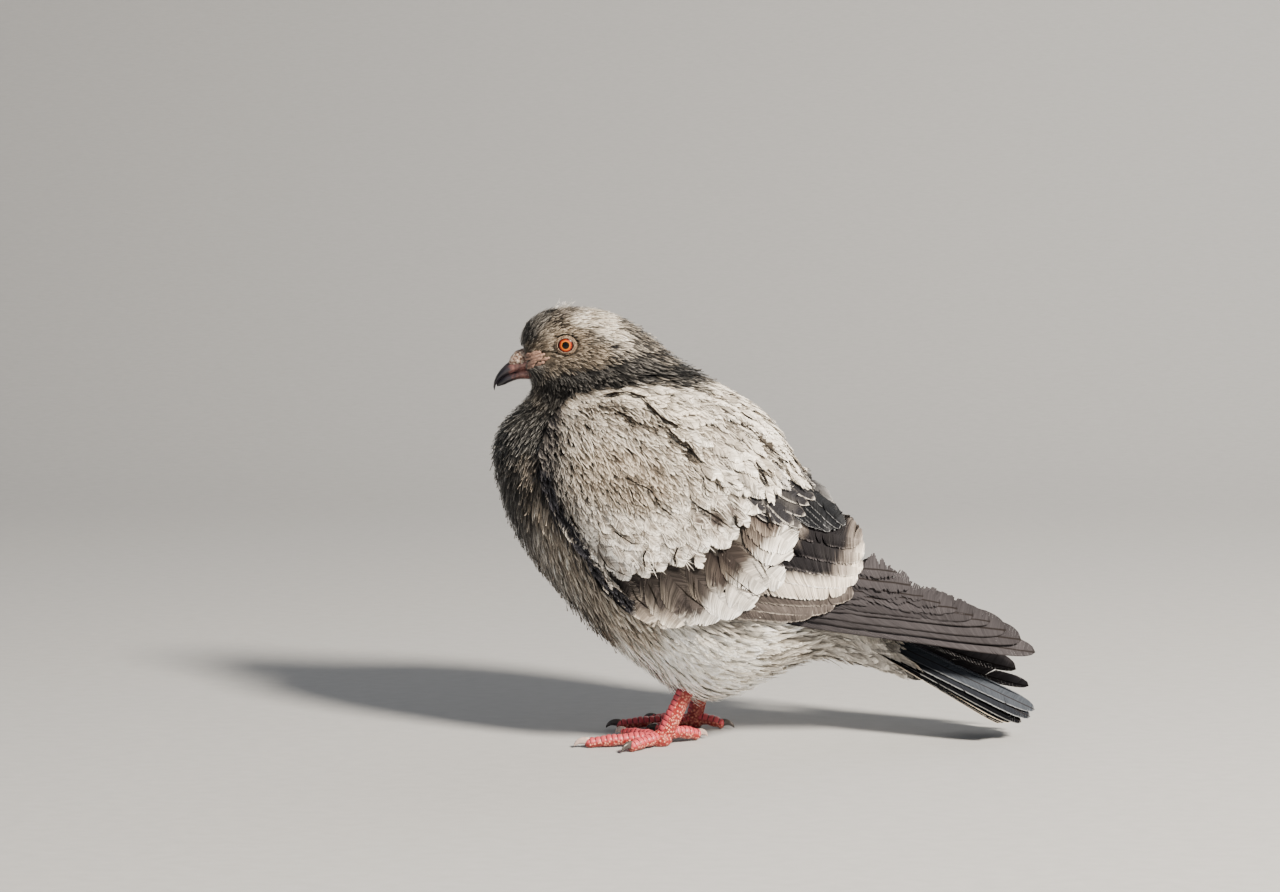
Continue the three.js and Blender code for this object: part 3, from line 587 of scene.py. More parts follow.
def laid_on(tree, guides, roots, lengths, turn):
    """Stations along each feather's shaft: points on the form of the plumage and normals there."""
    points, normals = [], []
    at = roots.copy()
    for step in range(STATIONS + 1):
        found = [tree.find_nearest(Vector(p)) for p in at]
        at = np.array([f[0] for f in found])
        up = np.array([f[1] for f in found])
        points.append(at)
        normals.append(up)
        heading = lie_at(at[:, [0, 2]], guides)[0]
        ahead = np.column_stack([heading[:, 0], np.zeros(len(at)), heading[:, 1]])
        ahead += np.cross(up, ahead) * turn[:, None]
        ahead -= up * np.sum(ahead * up, axis=1, keepdims=True)
        ahead /= np.linalg.norm(ahead, axis=1, keepdims=True) + 1e-9
        at = at + ahead * (lengths / STATIONS)[:, None]
    return np.array(points), np.array(normals)


def placed(stations, normals, along, across, height, half_breadth, lift, bend):
    """Vertices of feathers from their stations. lift is the height of shaft's root and tip in mm."""
    share = np.clip(along, 0, 1) * STATIONS
    step = np.minimum(share.astype(int), STATIONS - 1)
    t = (share - step)[..., None]
    row = np.arange(len(along))[:, None]
    spine = stations[step, row] * (1 - t) + stations[step + 1, row] * t
    up = normals[step, row] * (1 - t) + normals[step + 1, row] * t
    up /= np.linalg.norm(up, axis=2, keepdims=True)
    ahead = stations[step + 1, row] - stations[step, row]
    ahead /= np.linalg.norm(ahead, axis=2, keepdims=True) + 1e-9
    aside = np.cross(up, ahead)
    offset = across * half_breadth[:, None] + bend[:, None] * along**2
    level = lift[0][:, None] * (1 - along) + lift[1][:, None] * along**1.5 + height
    return spine + aside * offset[..., None] + up * level[..., None]


# The body's own long axis in side view, from the face to the root of the tail
AXIS_START, AXIS_END = np.array([-75.0, 185.0]), np.array([105.0, 33.0])


def body_unwrap(roots):
    """Round and along the body's own long axis, each 0 to 1."""
    run = AXIS_END - AXIS_START
    relative = roots[:, [0, 2]] - AXIS_START
    along = relative @ run / (run @ run)
    back = (relative[:, 0] * -run[1] + relative[:, 1] * run[0]) / np.linalg.norm(run)
    around = np.arctan2(roots[:, 1], back + 20) / (2 * math.pi) + 0.5
    return np.column_stack([around, 0.15 + 0.7 * np.clip(along, -0.2, 1.2)])


def mottled(points, seed, size=9.0):
    """Soft patches about 0 of that size in mm over points [x, z]."""
    rng = np.random.default_rng(seed)
    turn, phase = rng.uniform(0, 2 * math.pi, (2, 7))
    wave = 2 * math.pi / (size * rng.uniform(0.7, 1.8, 7))
    waves = points[..., :1] * np.cos(turn) * wave + points[..., 1:] * np.sin(turn) * wave + phase
    return np.sin(waves).mean(axis=-1) * 1.6


# A line along the middle of the folded wing, how far it reaches either side, and how softly it ends
UNDER_WING = ([(-32, 128), (0, 108), (34, 88), (50, 78)], 22, 9)
WING_INSIDE = 14  # from the plane of symmetry


def wing_cover(points):
    """1 where points of the body lie well under the folded wing."""
    return nearness(points[:, [0, 2]], *UNDER_WING) * (np.abs(points[:, 1]) > WING_INSIDE)


EYE_CLEARANCE, EYE_INSIDE = 3.5, 8
# Bare skin from the corner of the bill towards the eye, its half breadth and the softness of its edge
GAPE_SKIN = ([(-82, 178.6), (-77, 176.6), (-70, 177.8)], 2.5, 0.8)


def bare(points):
    """True on the eye and on the bare skin behind the bill."""
    round_eye = np.hypot(points[:, 0] - EYE.x, points[:, 2] - EYE.z) < EYE_CLEARANCE
    round_eye &= np.abs(points[:, 1]) > EYE_INSIDE
    return round_eye | (nearness(points[:, [0, 2]], *GAPE_SKIN) > 0.5)


PLACES_TRIED = 5  # for each feather


def coat(
    name, where, grid, shape, material, seed, lift, spread=0.12,
    over=(plumage_form, plumage_tree), guides=LIE, colours=(BODY_COLOURS, BODY_MARKS),
):
    """Covers the part of a form that where picks with feathers of one kind. lift has the height over
    the form of the root and tip of a feather 10 mm long, and how unevenly the tips lie; spread is
    how far the feathers turn from their lie, in radians."""
    rng = np.random.default_rng(seed)
    form, tree = over

    def density(points):
        spacing = lie_at(points[:, [0, 2]], guides)[3]
        return np.where(where(points), PLACES_TRIED / spacing**2, 0)

    roots = candidates(form, rng, density)
    if form is plumage_form:
        roots = roots[(wing_cover(roots) < 0.999) & ~bare(roots)]
    roots = roots[gathered(roots, lie_at(roots[:, [0, 2]], guides)[3], rng)]
    _, length, breadth, _ = lie_at(roots[:, [0, 2]], guides)
    count = len(roots)
    length = length * rng.uniform(0.8, 1.25, count)
    breadth = breadth * rng.uniform(0.8, 1.2, count)
    stations, normals = laid_on(tree, guides, roots, length, rng.normal(0, spread, count))
    along, across, height, edging, shade = fanned(grid, count, rng, shape)
    root_lift = lift[0] * rng.uniform(0.8, 1.2, count) * length / 10
    tip_lift = (lift[1] + lift[2] * np.abs(rng.normal(0, 1, count))) * length / 10
    bend = rng.normal(0, 0.07, count) * length
    height = height * breadth[:, None] / 4
    points = placed(stations, normals, along, across, height, breadth / 2, (root_lift, tip_lift), bend)
    middle = stations[STATIONS // 2][:, [0, 2]] + rng.normal(0, 0.16, (count, 2)) * length[:, None]
    vane, fringe = painted(middle, *colours)
    pale = smooth((rng.random(count) - shape["dark"]) / 0.3)[:, None]
    plain = shape["plain"]
    mix = pale * (plain + (1 - plain) * edging) + 0.2 * edging + 0.15 * mottled(middle, seed)[:, None]
    mix = mix.clip(0, 1)[..., None]
    bright = rng.normal(1, shape["variety"], (count, 1, 1)).clip(0.4, 1.6) * shade[..., None]
    tinted = ((vane[:, None] * (1 - mix) + fringe[:, None] * mix) * bright).clip(0, 1)
    fields = vane_map(across, grid, length)
    bake = bake_patches(body_unwrap(roots)[:, None], along, across)
    made = feather_mesh(name, points, grid, fields, tinted, bake, material)
    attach(made, "root")


# How each kind of feather is shaped:
# roundness: how blunt its tip is; outer: breadth of its lower vane, where that is the narrower
# ragged: share of its barbs' length that may be worn off
# partings, gape: share of its locks that part from the next, and how far, in locks
# gap: how far the ends of its locks are apart, in locks
# shingle, camber: how its locks lie on each other, and how its vanes bow
# fringe, tip: where the fringe colour begins, out along a barb and up the shaft
# upper_fringe: share of the fringe colour on its upper vane
# plain, mottle: share of the fringe colour all over it, and in patches
# deep: share of light at its root
# streak, variety: unevenness in colour of its barbs, and from feather to feather
# dark: share of feathers that lack the fringe colour
FACE = dict(
    roundness=0.0, ragged=0.4, partings=0.3, gape=0.5, gap=0.2, shingle=0.2, camber=0.2,
    fringe=0.4, tip=0.8, plain=0.12, deep=0.35, streak=0.12, variety=0.22, dark=0.36,
)
HACKLE = FACE | dict(fringe=0.66, tip=0.86, variety=0.3, deep=0.1, dark=0.5, plain=0.02)
LOOSE = dict(
    roundness=0.3, ragged=0.6, partings=0.25, gape=0.9, gap=0.3, shingle=0.3, camber=0.15,
    fringe=0.2, tip=0.6, plain=0.45, deep=0.85, streak=0.1, variety=0.07, dark=0.04,
)
CONTOUR = dict(
    roundness=0.5, ragged=0.35, partings=0.12, gape=1.2, gap=0.3, shingle=0.25, camber=0.2,
    fringe=0.4, tip=0.7, plain=0.3, deep=0.4, streak=0.1, variety=0.08, dark=0.1,
)
SLEEK = CONTOUR | dict(
    ragged=0.2, partings=0.08, gap=0.2, shingle=0.1, camber=0.1, plain=0.5, deep=0.75, dark=0.03,
)


# Which part of the body each coat covers


def on_head(p):
    return (p[:, 2] > 165 + 0.2 * (p[:, 0] + 75)) & (p[:, 0] < -24)


def on_crown_down(p):
    """The last wisps of a young bird's down, a little left of the middle."""
    return (nearness(p[:, [0, 2]], [(-67, 200.5), (-60, 202)], 1.2, 0.5) > 0.5) & (np.abs(p[:, 1] + 2) < 3)


def on_back(p):
    return (p[:, 0] > -2) & (p[:, 0] < 78) & (p[:, 2] > 118 - 0.9 * p[:, 0])


def on_belly(p):
    return (p[:, 2] < 68 - 0.25 * (p[:, 0] + 40)) & (p[:, 0] > -48) & (p[:, 0] < 60)


def on_tail_root(p):
    return (p[:, 0] >= 60) & (p[:, 0] < 101) & (p[:, 2] < 52 - 0.95 * np.maximum(p[:, 0] - 72, 0))


def on_neck(p):
    return ~on_head(p) & ~on_back(p) & (p[:, 2] > 132)


def on_breast(p):
    return ~on_head(p) & ~on_back(p) & ~on_belly(p) & (p[:, 0] < 60) & (p[:, 2] <= 132)


coat("coat_head", on_head, barb_fan(2, 2, 0.4), FACE, silky, 11, (-0.9, 0.6, 0.9))
coat("crown_down", on_crown_down, barb_fan(2, 2, 0.3), FACE, downy, 19, (-0.6, 4.0, 3.0), 0.8,
     colours=(("#e6e2da", "#ffffff"), {}))
coat("coat_neck", on_neck, barb_fan(2, 2, 0.45), HACKLE, silky, 12, (-1.8, 0.4, 0.9))
coat("coat_breast", on_breast, barb_fan(2, 2, 0.45), HACKLE, silky, 13, (-1.8, 0.4, 0.7))
coat("coat_belly", on_belly, barb_fan(8, 2, 0.5), LOOSE, downy, 14, (-1.8, 0.5, 0.6), 0.16)
coat("coat_back", on_back, barb_fan(14, 2, 0.35), CONTOUR, downy, 15, (-1.8, 0.5, 0.4))
coat("coat_undertail", on_tail_root, barb_fan(12, 2, 0.45), SLEEK, downy, 16,
     (-1.4, 0.2, 0.1), 0.08)

# ------------------------------------------------------------------------------------------------
# Wings: small frayed coverts over the shoulder, rows of larger ones behind them with a brown-grey bar
# and white tips, then secondaries, tertials and primaries folded under each other. All lie on the
# outer surface of the wing's solid, which is read as its distance from the plane of symmetry.

FIELD_STEP = 1.25
FIELD_X = np.arange(-96, 176, FIELD_STEP)
FIELD_Z = np.arange(12, 182, FIELD_STEP)
FILL_PASSES = 90  # steps that the surface is carried on past the wing's outline
BLUR_PASSES = 8
MIDDLE_CLEARANCE = 0.6  # from the plane of symmetry
BAKE_CORNER, BAKE_SPAN = np.array([-96, 12]), 272  # part of the side view that fills the bake map


def neighbours(values):
    """The sum of the four cells round each one."""
    padded = np.pad(values, 1, mode="edge")
    return padded[:-2, 1:-1] + padded[2:, 1:-1] + padded[1:-1, :-2] + padded[1:-1, 2:]


def side_field(node):
    """Distance of a wing's outer surface from the plane of symmetry over a grid in side view, carried
    on smoothly past its outline."""
    solid = bmesh.new()
    solid.from_mesh(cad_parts[node].data)
    for vert in solid.verts:
        vert.co = Vector(to_bird(vert.co))
    tree = BVHTree.FromBMesh(solid)
    solid.free()
    field = np.full((len(FIELD_X), len(FIELD_Z)), np.nan)
    for i, x in enumerate(FIELD_X):
        for j, z in enumerate(FIELD_Z):
            hit = tree.ray_cast(Vector((x, -200, z)), Vector((0, 1, 0)))[0]
            if hit is not None:
                field[i, j] = -hit.y
    known = ~np.isnan(field)
    filled = np.where(known, field, 0.0)
    weight = known.astype(float)
    for _ in range(FILL_PASSES):
        total, share = neighbours(filled * weight), neighbours(weight)
        fresh = (weight == 0) & (share > 0)
        filled[fresh] = (total / np.maximum(share, 1e-9))[fresh]
        weight[fresh] = 1
    for _ in range(BLUR_PASSES):
        filled = (filled * 4 + neighbours(filled)) / 8
    return filled


wing_field = side_field("wing_left")
wing_slope_x, wing_slope_z = np.gradient(wing_field, FIELD_STEP)


def read_field(values, x, z):
    """Values of a field between its cells."""
    u = np.clip((x - FIELD_X[0]) / FIELD_STEP, 0, len(FIELD_X) - 1.001)
    v = np.clip((z - FIELD_Z[0]) / FIELD_STEP, 0, len(FIELD_Z) - 1.001)
    i, j = u.astype(int), v.astype(int)
    s, t = u - i, v - j
    low = values[i, j] * (1 - s) + values[i + 1, j] * s
    high = values[i, j + 1] * (1 - s) + values[i + 1, j + 1] * s
    return low * (1 - t) + high * t


def on_wing(x, z, lift, side):
    """Points lifted off the wing's surface, for the left or the right wing."""
    slope_x, slope_z = (read_field(slope, x, z) for slope in (wing_slope_x, wing_slope_z))
    normal = np.stack([-slope_x, np.ones_like(x), -slope_z], axis=-1)
    normal /= np.linalg.norm(normal, axis=-1, keepdims=True)
    points = np.stack([x, read_field(wing_field, x, z), z], axis=-1) + normal * lift[..., None]
    points[..., 1] = np.maximum(points[..., 1], MIDDLE_CLEARANCE) * side
    return points


# The wing's front edge in side view, from the shoulder down
FRONT_EDGE = [
    (-30, 168), (-44, 167), (-58, 162), (-68, 151.5), (-73, 137), (-72.5, 122), (-67.5, 110),
    (-60, 98.5), (-52, 86.5), (-45, 76), (-34, 66.5), (-22, 60), (-6, 57),
]
OVERHANG = 0.06  # share of the way past that edge that a feather keeps


def tucked(x, z):
    """Draws the parts of feathers beyond the wing's front edge back onto it."""
    at = np.stack([x, z], axis=-1)
    best = np.full(x.shape, np.inf)
    nearest, outside = at.copy(), np.zeros(x.shape, bool)
    for start, end in zip(FRONT_EDGE, FRONT_EDGE[1:]):
        start, run = np.array(start, float), np.subtract(end, start).astype(float)
        share = np.clip(((at - start) @ run) / (run @ run), 0, 1)
        spot = start + share[..., None] * run
        away = np.linalg.norm(at - spot, axis=-1)
        beyond = run[0] * (at[..., 1] - start[1]) - run[1] * (at[..., 0] - start[0]) < 0
        closer = away < best
        best = np.where(closer, away, best)
        outside = np.where(closer, beyond, outside)
        nearest = np.where(closer[..., None], spot, nearest)
    held = np.where(outside[..., None], nearest + OVERHANG * (at - nearest), at)
    return held[..., 0], held[..., 1]


def spaced(line, count):
    """Points at even distances along a line of [x, z] points."""
    line = np.array(line, float)
    run = np.concatenate([[0], np.cumsum(np.linalg.norm(np.diff(line, axis=0), axis=1))])
    at = np.linspace(0, run[-1], count)
    return np.column_stack([np.interp(at, run, line[:, 0]), np.interp(at, run, line[:, 1])])


def within(points, border):
    """True for the points [x, z] inside a closed border."""
    inside = np.zeros(len(points), bool)
    corners = np.array(border, float)
    for (x0, z0), (x1, z1) in zip(corners, np.roll(corners, -1, axis=0)):
        crosses = (z0 > points[:, 1]) != (z1 > points[:, 1])
        inside ^= crosses & (points[:, 0] < (x1 - x0) * (points[:, 1] - z0) / (z1 - z0 + 1e-9) + x0)
    return inside


# Ground colours and markings, as for the body: those of the soft pale coverts, of the scapulars, of the
# greater coverts with the first bar, of the secondaries with the second, and of the plain feathers
PALE = ("#857c72", "#ded7cc")
PALE_MARKS = {
    "shoulder": ([(-68, 152), (-71, 138), (-70, 124)], 3.5, 8, "#1b1a1e", "#86817d"),
    "shoulder back": ([(-46, 130), (-26, 124)], 8, 8, "#71675c", "#cfc4b5"),
    "upper coverts": ([(-54, 105), (-30, 101), (-8, 105), (10, 116)], 6, 6, "#958d84", "#ebe6dd"),
    "lower coverts": ([(-46, 88), (-26, 86), (-4, 90), (14, 101), (28, 116)], 7, 5, "#9e968e", "#f3efe8"),
    "grey spots": ([(2, 108), (12, 112)], 2, 3, "#4b4441", "#a9a199"),
    # Painted shade: a thin dark line along the crease where the neck's feathers meet the wing's, for the
    # shadow in it.
    "shade in the groove": ([(-50, 155), (-38, 156), (-30, 150), (-18, 147.5), (-11, 142), (-1, 131), (10, 121.5)],
               0.6, 1.6, "#1a1714", "#776e63"),
    # Dark marginal coverts along the wing's front edge, painted darker still for the shade there.
    "leading edge": ([(-71, 126), (-65, 111), (-57, 100), (-49, 85), (-42, 76), (-32, 68)], 2.2, 2.4,
                     "#111115", "#3f3f45"),
}
SCAPULAR = ("#8f887f", "#e6e1d9")
SCAPULAR_MARKS = {
    "front": ([(-34, 160), (-14, 151)], 7, 7, "#7e776d", "#d9d1c5"),
    "grey tips": ([(34, 126), (44, 120)], 3, 3, "#4f4d52", "#b9b6b4"),
    "rump": ([(58, 120), (64, 108), (70, 94)], 8, 7, "#3f4045", "#9b9b9c"),
}
BARRED = ("#a59f98", "#ece8e2")
BARRED_MARKS = {
    "first bar": ([(-12, 81), (5, 89), (17, 100), (27, 111), (35, 122)], 10, 2.5, "#3a3331", "#8f847b"),
    "white tips": ([(4, 64), (16, 68), (28, 75), (37, 85), (43, 95), (46, 106)], 7.5, 3,
                   "#c9c4be", "#f9f7f3"),
    "grey coverts": ([(-34, 81), (-18, 78), (-6, 77)], 11, 3, "#484240", "#9c9389"),
    "their tips": ([(-28, 65), (-8, 60)], 1.8, 2, "#857b71", "#cfc7bc"),
    # Dark marginal coverts along the wing's front edge, painted darker still for the shade there.
    "leading edge": ([(-71, 126), (-65, 111), (-57, 100), (-49, 85), (-42, 76), (-34, 69)], 3.6, 2.5,
                     "#0b0b0e", "#2f2e33"),
}
TIPPED = ("#7d7570", "#b3aaa2")
TIPPED_MARKS = {
    "second bar": ([(38, 84), (52, 89), (59, 103)], 8, 6.5, "#1a191c", "#5b585b"),
    "white tips": ([(36, 75), (50, 73), (62, 72), (71.5, 75), (77, 87)], 3.2, 5.0, "#cfc5ba", "#fbf8f3"),
}
EDGED = ("#232327", "#cbc6c0")
TERTIAL = ("#15171b", "#8c8f94")
GREY = ("#4c4644", "#a39b94")
# The primaries' fringe colour is near black: painted shade along each one's lower edge, where it lies over
# the next.
WORN_WITH_SHADED_EDGES = ("#3b393c", "#1b1919")

# The lie of the small coverts, as for the body, and the border of the part they cover
WING_LIE = {
    "shoulder top": (-45, 162, -14, 8.0, 3.8, 2.2),
    "shoulder": (-46, 151, -52, 8.0, 3.8, 2.2),
    "wrist": (-60, 140, -72, 7.5, 3.4, 2.0),
    "leading edge": (-66, 120, -74, 7.5, 2.8, 1.8),
    "lesser coverts": (-40, 128, -62, 8.5, 4.4, 2.4),
    "lesser coverts behind": (-16, 134, -48, 10.5, 5.0, 2.8),
    "edge middle": (-56, 98, -60, 8.0, 2.8, 1.8),
    "edge low": (-40, 76, -48, 8.0, 2.8, 1.8),
    "middle": (10, 118, -48, 11.0, 6.0, 3.0),
}
SHOULDER = [
    (-57, 160), (-67, 150), (-72, 136), (-71.5, 122), (-66, 111), (-59, 100), (-51, 88), (-44, 77.5),
    (-33, 68), (-31, 71), (-42, 83), (-50, 96), (-56, 105), (-45, 110), (-28, 110), (-10, 117),
    (8, 127), (3, 138), (-8, 148), (-22, 157), (-38, 164),
]


def wing_feathers(name, side, grid, shape, row, material, seed):
    """Lays feathers on a wing. row has the place of each tip in side view and its heading there, the
    feathers' length, breadth and colours, and the lift of root and tip in mm. It may have how far
    each feather sags in mm, how much its lower edge is tilted out over its neighbour, its wear, its
    drop at the tip in mm and whether each has its own strip of the bake map."""
    rng = np.random.default_rng(seed)
    tips, headings = row["tips"], row["headings"]
    count = len(tips)
    length = np.broadcast_to(row["length"], count) * rng.uniform(0.94, 1.06, count)
    breadth = np.broadcast_to(row["breadth"], count) * rng.uniform(0.86, 1.14, count)
    along, across, height, edging, shade = fanned(grid, count, rng, shape, row.get("wear", 1.0))
    back = length[:, None] * (1 - along)
    aside = across * breadth[:, None] / 2 + row.get("sag", 0) * 4 * (along - along**2)
    dx, dz = headings[:, 0:1], headings[:, 1:2]
    x = tips[:, 0:1] - dx * back + dz * aside
    z = tips[:, 1:2] - dz * back - dx * aside
    x, z = tucked(x, z)
    level = row["lift"][0] * (1 - along) + row["lift"][1] * along + height * breadth[:, None] / 8
    level += row.get("tilt", 0.06) * across * breadth[:, None] / 2 + rng.uniform(-0.15, 0.15, (count, 1))
    points = on_wing(x, z, level, side)
    points[..., 2] -= np.broadcast_to(row.get("drop", 0.0), count)[:, None] * smooth((x - 20) / 130)
    flat = np.stack([x, z], axis=2)
    strayed = rng.normal(0, 0.9, (count, 1, 2))
    strayed = strayed + rng.normal(0, 0.7, (count, 2 * grid["locks"], 2))[:, grid["lock"]]
    vane, fringe = painted((flat + strayed).reshape(-1, 2), row["ground"], row.get("marks", {}))
    mix = (edging + shape["mottle"] * mottled(flat, seed)).clip(0, 1)[..., None]
    colours = vane.reshape(*x.shape, 3) * (1 - mix) + fringe.reshape(*x.shape, 3) * mix
    bright = rng.normal(1, shape["variety"], (count, 1, 1)).clip(0.6, 1.4) * shade[..., None]
    fields = vane_map(across, grid, length)
    if row.get("strips"):
        bake = bake_strips(along, across)
    else:
        bake = bake_patches((flat[:, :1] - BAKE_CORNER) / BAKE_SPAN, along, across)
    if side == RIGHT:
        grid = grid | {"quads": grid["quads"][:, ::-1]}
    made = feather_mesh(name, points, grid, fields, (colours * bright).clip(0, 1), bake, material)
    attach(made, "root")


covert_barbs = plume_material("covert_vane_barbs", 0.7, 0.05, 0.3, 0.35)
secondary_barbs = plume_material("secondary_vane_barbs", 0.6, 0.0, 0.25, 0.2)
flight_barbs = plume_material("flight_vane_barbs", 0.62, 0.0, 0.16, 0.12, "#242121", gloss=0.0)

LESSER = dict(
    roundness=0.3, ragged=0.55, partings=0.2, gape=1.6, gap=0.8, shingle=0.3, camber=0.15,
    fringe=0.3, tip=0.7, mottle=0.3, deep=0.16, streak=0.22, variety=0.1,
)
LOOSE_SCAPULAR = LESSER | dict(
    roundness=0.5, ragged=0.4, partings=0.08, gape=2.8, gap=0.55, shingle=0.1, camber=0.05,
    plain=0.35, deep=0.4, streak=0.2, variety=0.05, dark=0.08,
)
SOFT = dict(
    roundness=0.6, ragged=0.4, partings=0.08, gape=2.6, gap=0.5, shingle=0.1, camber=0.05,
    fringe=0.25, tip=0.75, mottle=0.35, deep=0.45, streak=0.2, variety=0.05,
)
FIRM = SOFT | dict(roundness=1.0, ragged=0.3, gap=0.4, fringe=0.5, tip=0.9, mottle=0.25)
EDGING = FIRM | dict(
    roundness=0.6, ragged=0.15, gap=0.2, fringe=0.8, tip=0.95, upper_fringe=0.15, mottle=0.1, streak=0.1,
)
LONG = dict(
    roundness=2.6, outer=0.6, ragged=0.08, partings=0.015, gape=1.6, gap=0.06, shingle=0.05, camber=0.2,
    fringe=0.9, tip=0.995, upper_fringe=0.2, mottle=0.08, deep=0.6, streak=0.04, variety=0.07,
)
VANED = LONG | dict(
    roundness=1.4, ragged=0.26, partings=0.04, gap=0.2, shingle=0.12, fringe=0.84, streak=0.16,
)
PRIMARY = LONG | dict(
    roundness=1.8, ragged=0.5, partings=0.05, gape=2.6, gap=0.14, deep=0.85, streak=0.08,
)

# Rows of coverts, from the lowest up: line of their tips in side view, number, heading in degrees at
# its two ends, length, breadth, sag, sweep of the barbs, lift of root and tip
COVERT_ROWS = {
    "tertial_coverts": dict(
        line=[(27, 112), (33, 105), (42, 103), (47, 108), (51, 114)],
        count=9, turn=(-52, -46), length=32, breadth=7, sag=0.8, sweep=0.3, lift=(-1.8, 0.3),
        shape=EDGING, ground=EDGED,
    ),
    "greater_coverts": dict(
        line=[(-30, 68), (-23, 64.5), (-12, 61), (3, 61), (14, 65), (24, 70), (33, 76.5), (40, 87),
              (42, 95), (40, 103)],
        count=13, turn=(-50, -44), length=33, breadth=18, sag=1.6, sweep=0.42, lift=(-2.6, -0.7),
        shape=FIRM, ground=BARRED, marks=BARRED_MARKS,
    ),
}
# The lie of the median coverts, as for the body, and the border of their middles
MEDIAN_LIE = {
    "front": (-54, 98, -58, 18.0, 9.0, 5.4),
    "low": (-32, 92, -54, 23.0, 11.5, 7.4),
    "high": (-26, 106, -52, 21.0, 10.5, 6.6),
    "middle": (-6, 102, -50, 24.0, 12.0, 7.8),
    "back": (14, 116, -46, 24.0, 12.0, 7.8),
}
MEDIANS = [
    (-60, 104), (-52, 94), (-40, 88.5), (-28, 90), (-18, 92.5), (-8, 95), (3, 101), (14, 111), (20, 118),
    (10, 127), (-8, 120), (-28, 113), (-45, 113), (-57, 109),
]
COVERTS_TRIED = 14000  # places strewn over the wing, of which each field of coverts keeps some
# The long feathers, from their roots to their tips in side view
FLIGHT_ROWS = {
    "primaries": dict(
        roots=[(18, 65), (22, 70), (30, 78), (38, 86)],
        points=[(155.0, 41.5), (152, 45), (144, 50), (134, 55.5), (119, 61.5), (104, 67), (97, 73),
                (91, 79)],
        count=10, breadth=15, lift=(-4.6, -0.6), sag=-1.5, tilt=0.26,
        shape=PRIMARY, ground=WORN_WITH_SHADED_EDGES, barbs=flight_barbs,
    ),
    "outer_secondaries": dict(
        roots=[(-10, 74), (2, 80)],
        points=[(50, 64.5), (60, 67), (69, 72)],
        count=3, breadth=16, lift=(-3.4, -0.4), sag=2.0, tilt=0.16,
        shape=VANED, ground=GREY, barbs=secondary_barbs,
    ),
    "secondaries": dict(
        roots=[(0, 88), (8, 100), (16, 118)],
        points=[(66, 75), (73, 79), (75.5, 87), (74.5, 94)],
        count=5, breadth=21, lift=(-3.0, -0.1), sag=2.0, tilt=0.12,
        shape=VANED, ground=TIPPED, marks=TIPPED_MARKS, barbs=secondary_barbs,
    ),
    "tertials": dict(
        roots=[(20, 124), (27, 130), (33, 134)],
        points=[(51, 102), (59, 99), (66, 101)],
        count=7, breadth=10, lift=(-2.4, 0.2), sag=-1.2, tilt=0.2,
        shape=VANED, ground=TERTIAL, barbs=secondary_barbs,
    ),
}
RIGHT_TIP_DROP = 19  # mm that the right wing's longest primary hangs lower than the left one's
BED_OUTLINE = [
    (-56, 158), (-65, 149), (-69.5, 136), (-69, 122), (-64, 110), (-57, 99), (-49, 88), (-42, 78),
    (-30, 70), (-12, 65), (4, 64), (24, 68), (50, 70), (62, 74), (68, 90), (60, 108), (48, 122),
    (34, 138), (14, 153), (-10, 160), (-28, 163), (-42, 162),
]
BED_MIDDLE, BED_SPAN = (-1, 113, 0), (144, 102)
BED_DEPTH, BED_THICKNESS, BED_PAINTED_SHADE = 2.6, 1.4, 0.25


def wing_bed(word, side):
    """The flesh and down under the coverts, its colour darkened to paint the shade that shows between them.
    """
    bed = bmesh.new()
    bmesh.ops.create_grid(bed, x_segments=90, y_segments=64, size=0.5)
    for vert in bed.verts:
        vert.co = Vector((vert.co.x * BED_SPAN[0], vert.co.y * BED_SPAN[1], 0)) + Vector(BED_MIDDLE)
    middles = np.array([f.calc_center_median()[:2] for f in bed.faces])
    kept = within(middles, BED_OUTLINE)
    bmesh.ops.delete(bed, geom=[f for f, keep in zip(bed.faces, kept) if not keep], context="FACES")
    flat = np.array([v.co for v in bed.verts])
    points = on_wing(flat[:, 0], flat[:, 1], np.full(len(flat), -BED_DEPTH), side)
    for vert, place in zip(bed.verts, to_row(points)):
        vert.co = Vector(place)
    if side == RIGHT:
        bmesh.ops.reverse_faces(bed, faces=bed.faces)
    bed.normal_update()
    bmesh.ops.solidify(bed, geom=bed.faces, thickness=BED_THICKNESS * MM)
    bmesh.ops.recalc_face_normals(bed, faces=bed.faces)
    bed = object_of(f"wing_bed_{word}", bed, down)
    places = np.array([to_bird(v.co) for v in bed.data.vertices])
    # Painted shade: the coverts' vane colours darkened to a quarter.
    coloured(bed.data, "plumage", painted(places[:, [0, 2]], PALE, PALE_MARKS)[0] * BED_PAINTED_SHADE)
    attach(bed, "root")
    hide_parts(f"wing_{word}")


def covert_row(name, word, side, seed):
    """One of the rows of coverts, their tips spaced along its line."""
    row = COVERT_ROWS[name]
    rng = np.random.default_rng(seed)
    count = row["count"]
    angle = np.radians(np.linspace(*row["turn"], count) + rng.normal(0, 5, count))
    headings = np.column_stack([np.cos(angle), np.sin(angle)])
    tips = spaced(row["line"], count) + headings * rng.normal(0, 1.4, (count, 1))
    tips = tips + rng.normal(0, 0.5, (count, 2))
    grid = barb_fan(30, 3, row["sweep"], 0.7)
    row = row | dict(tips=tips, headings=headings)
    wing_feathers(
        f"{name}_{word}", side, grid, row["shape"], row, covert_barbs, seed + 50
    )


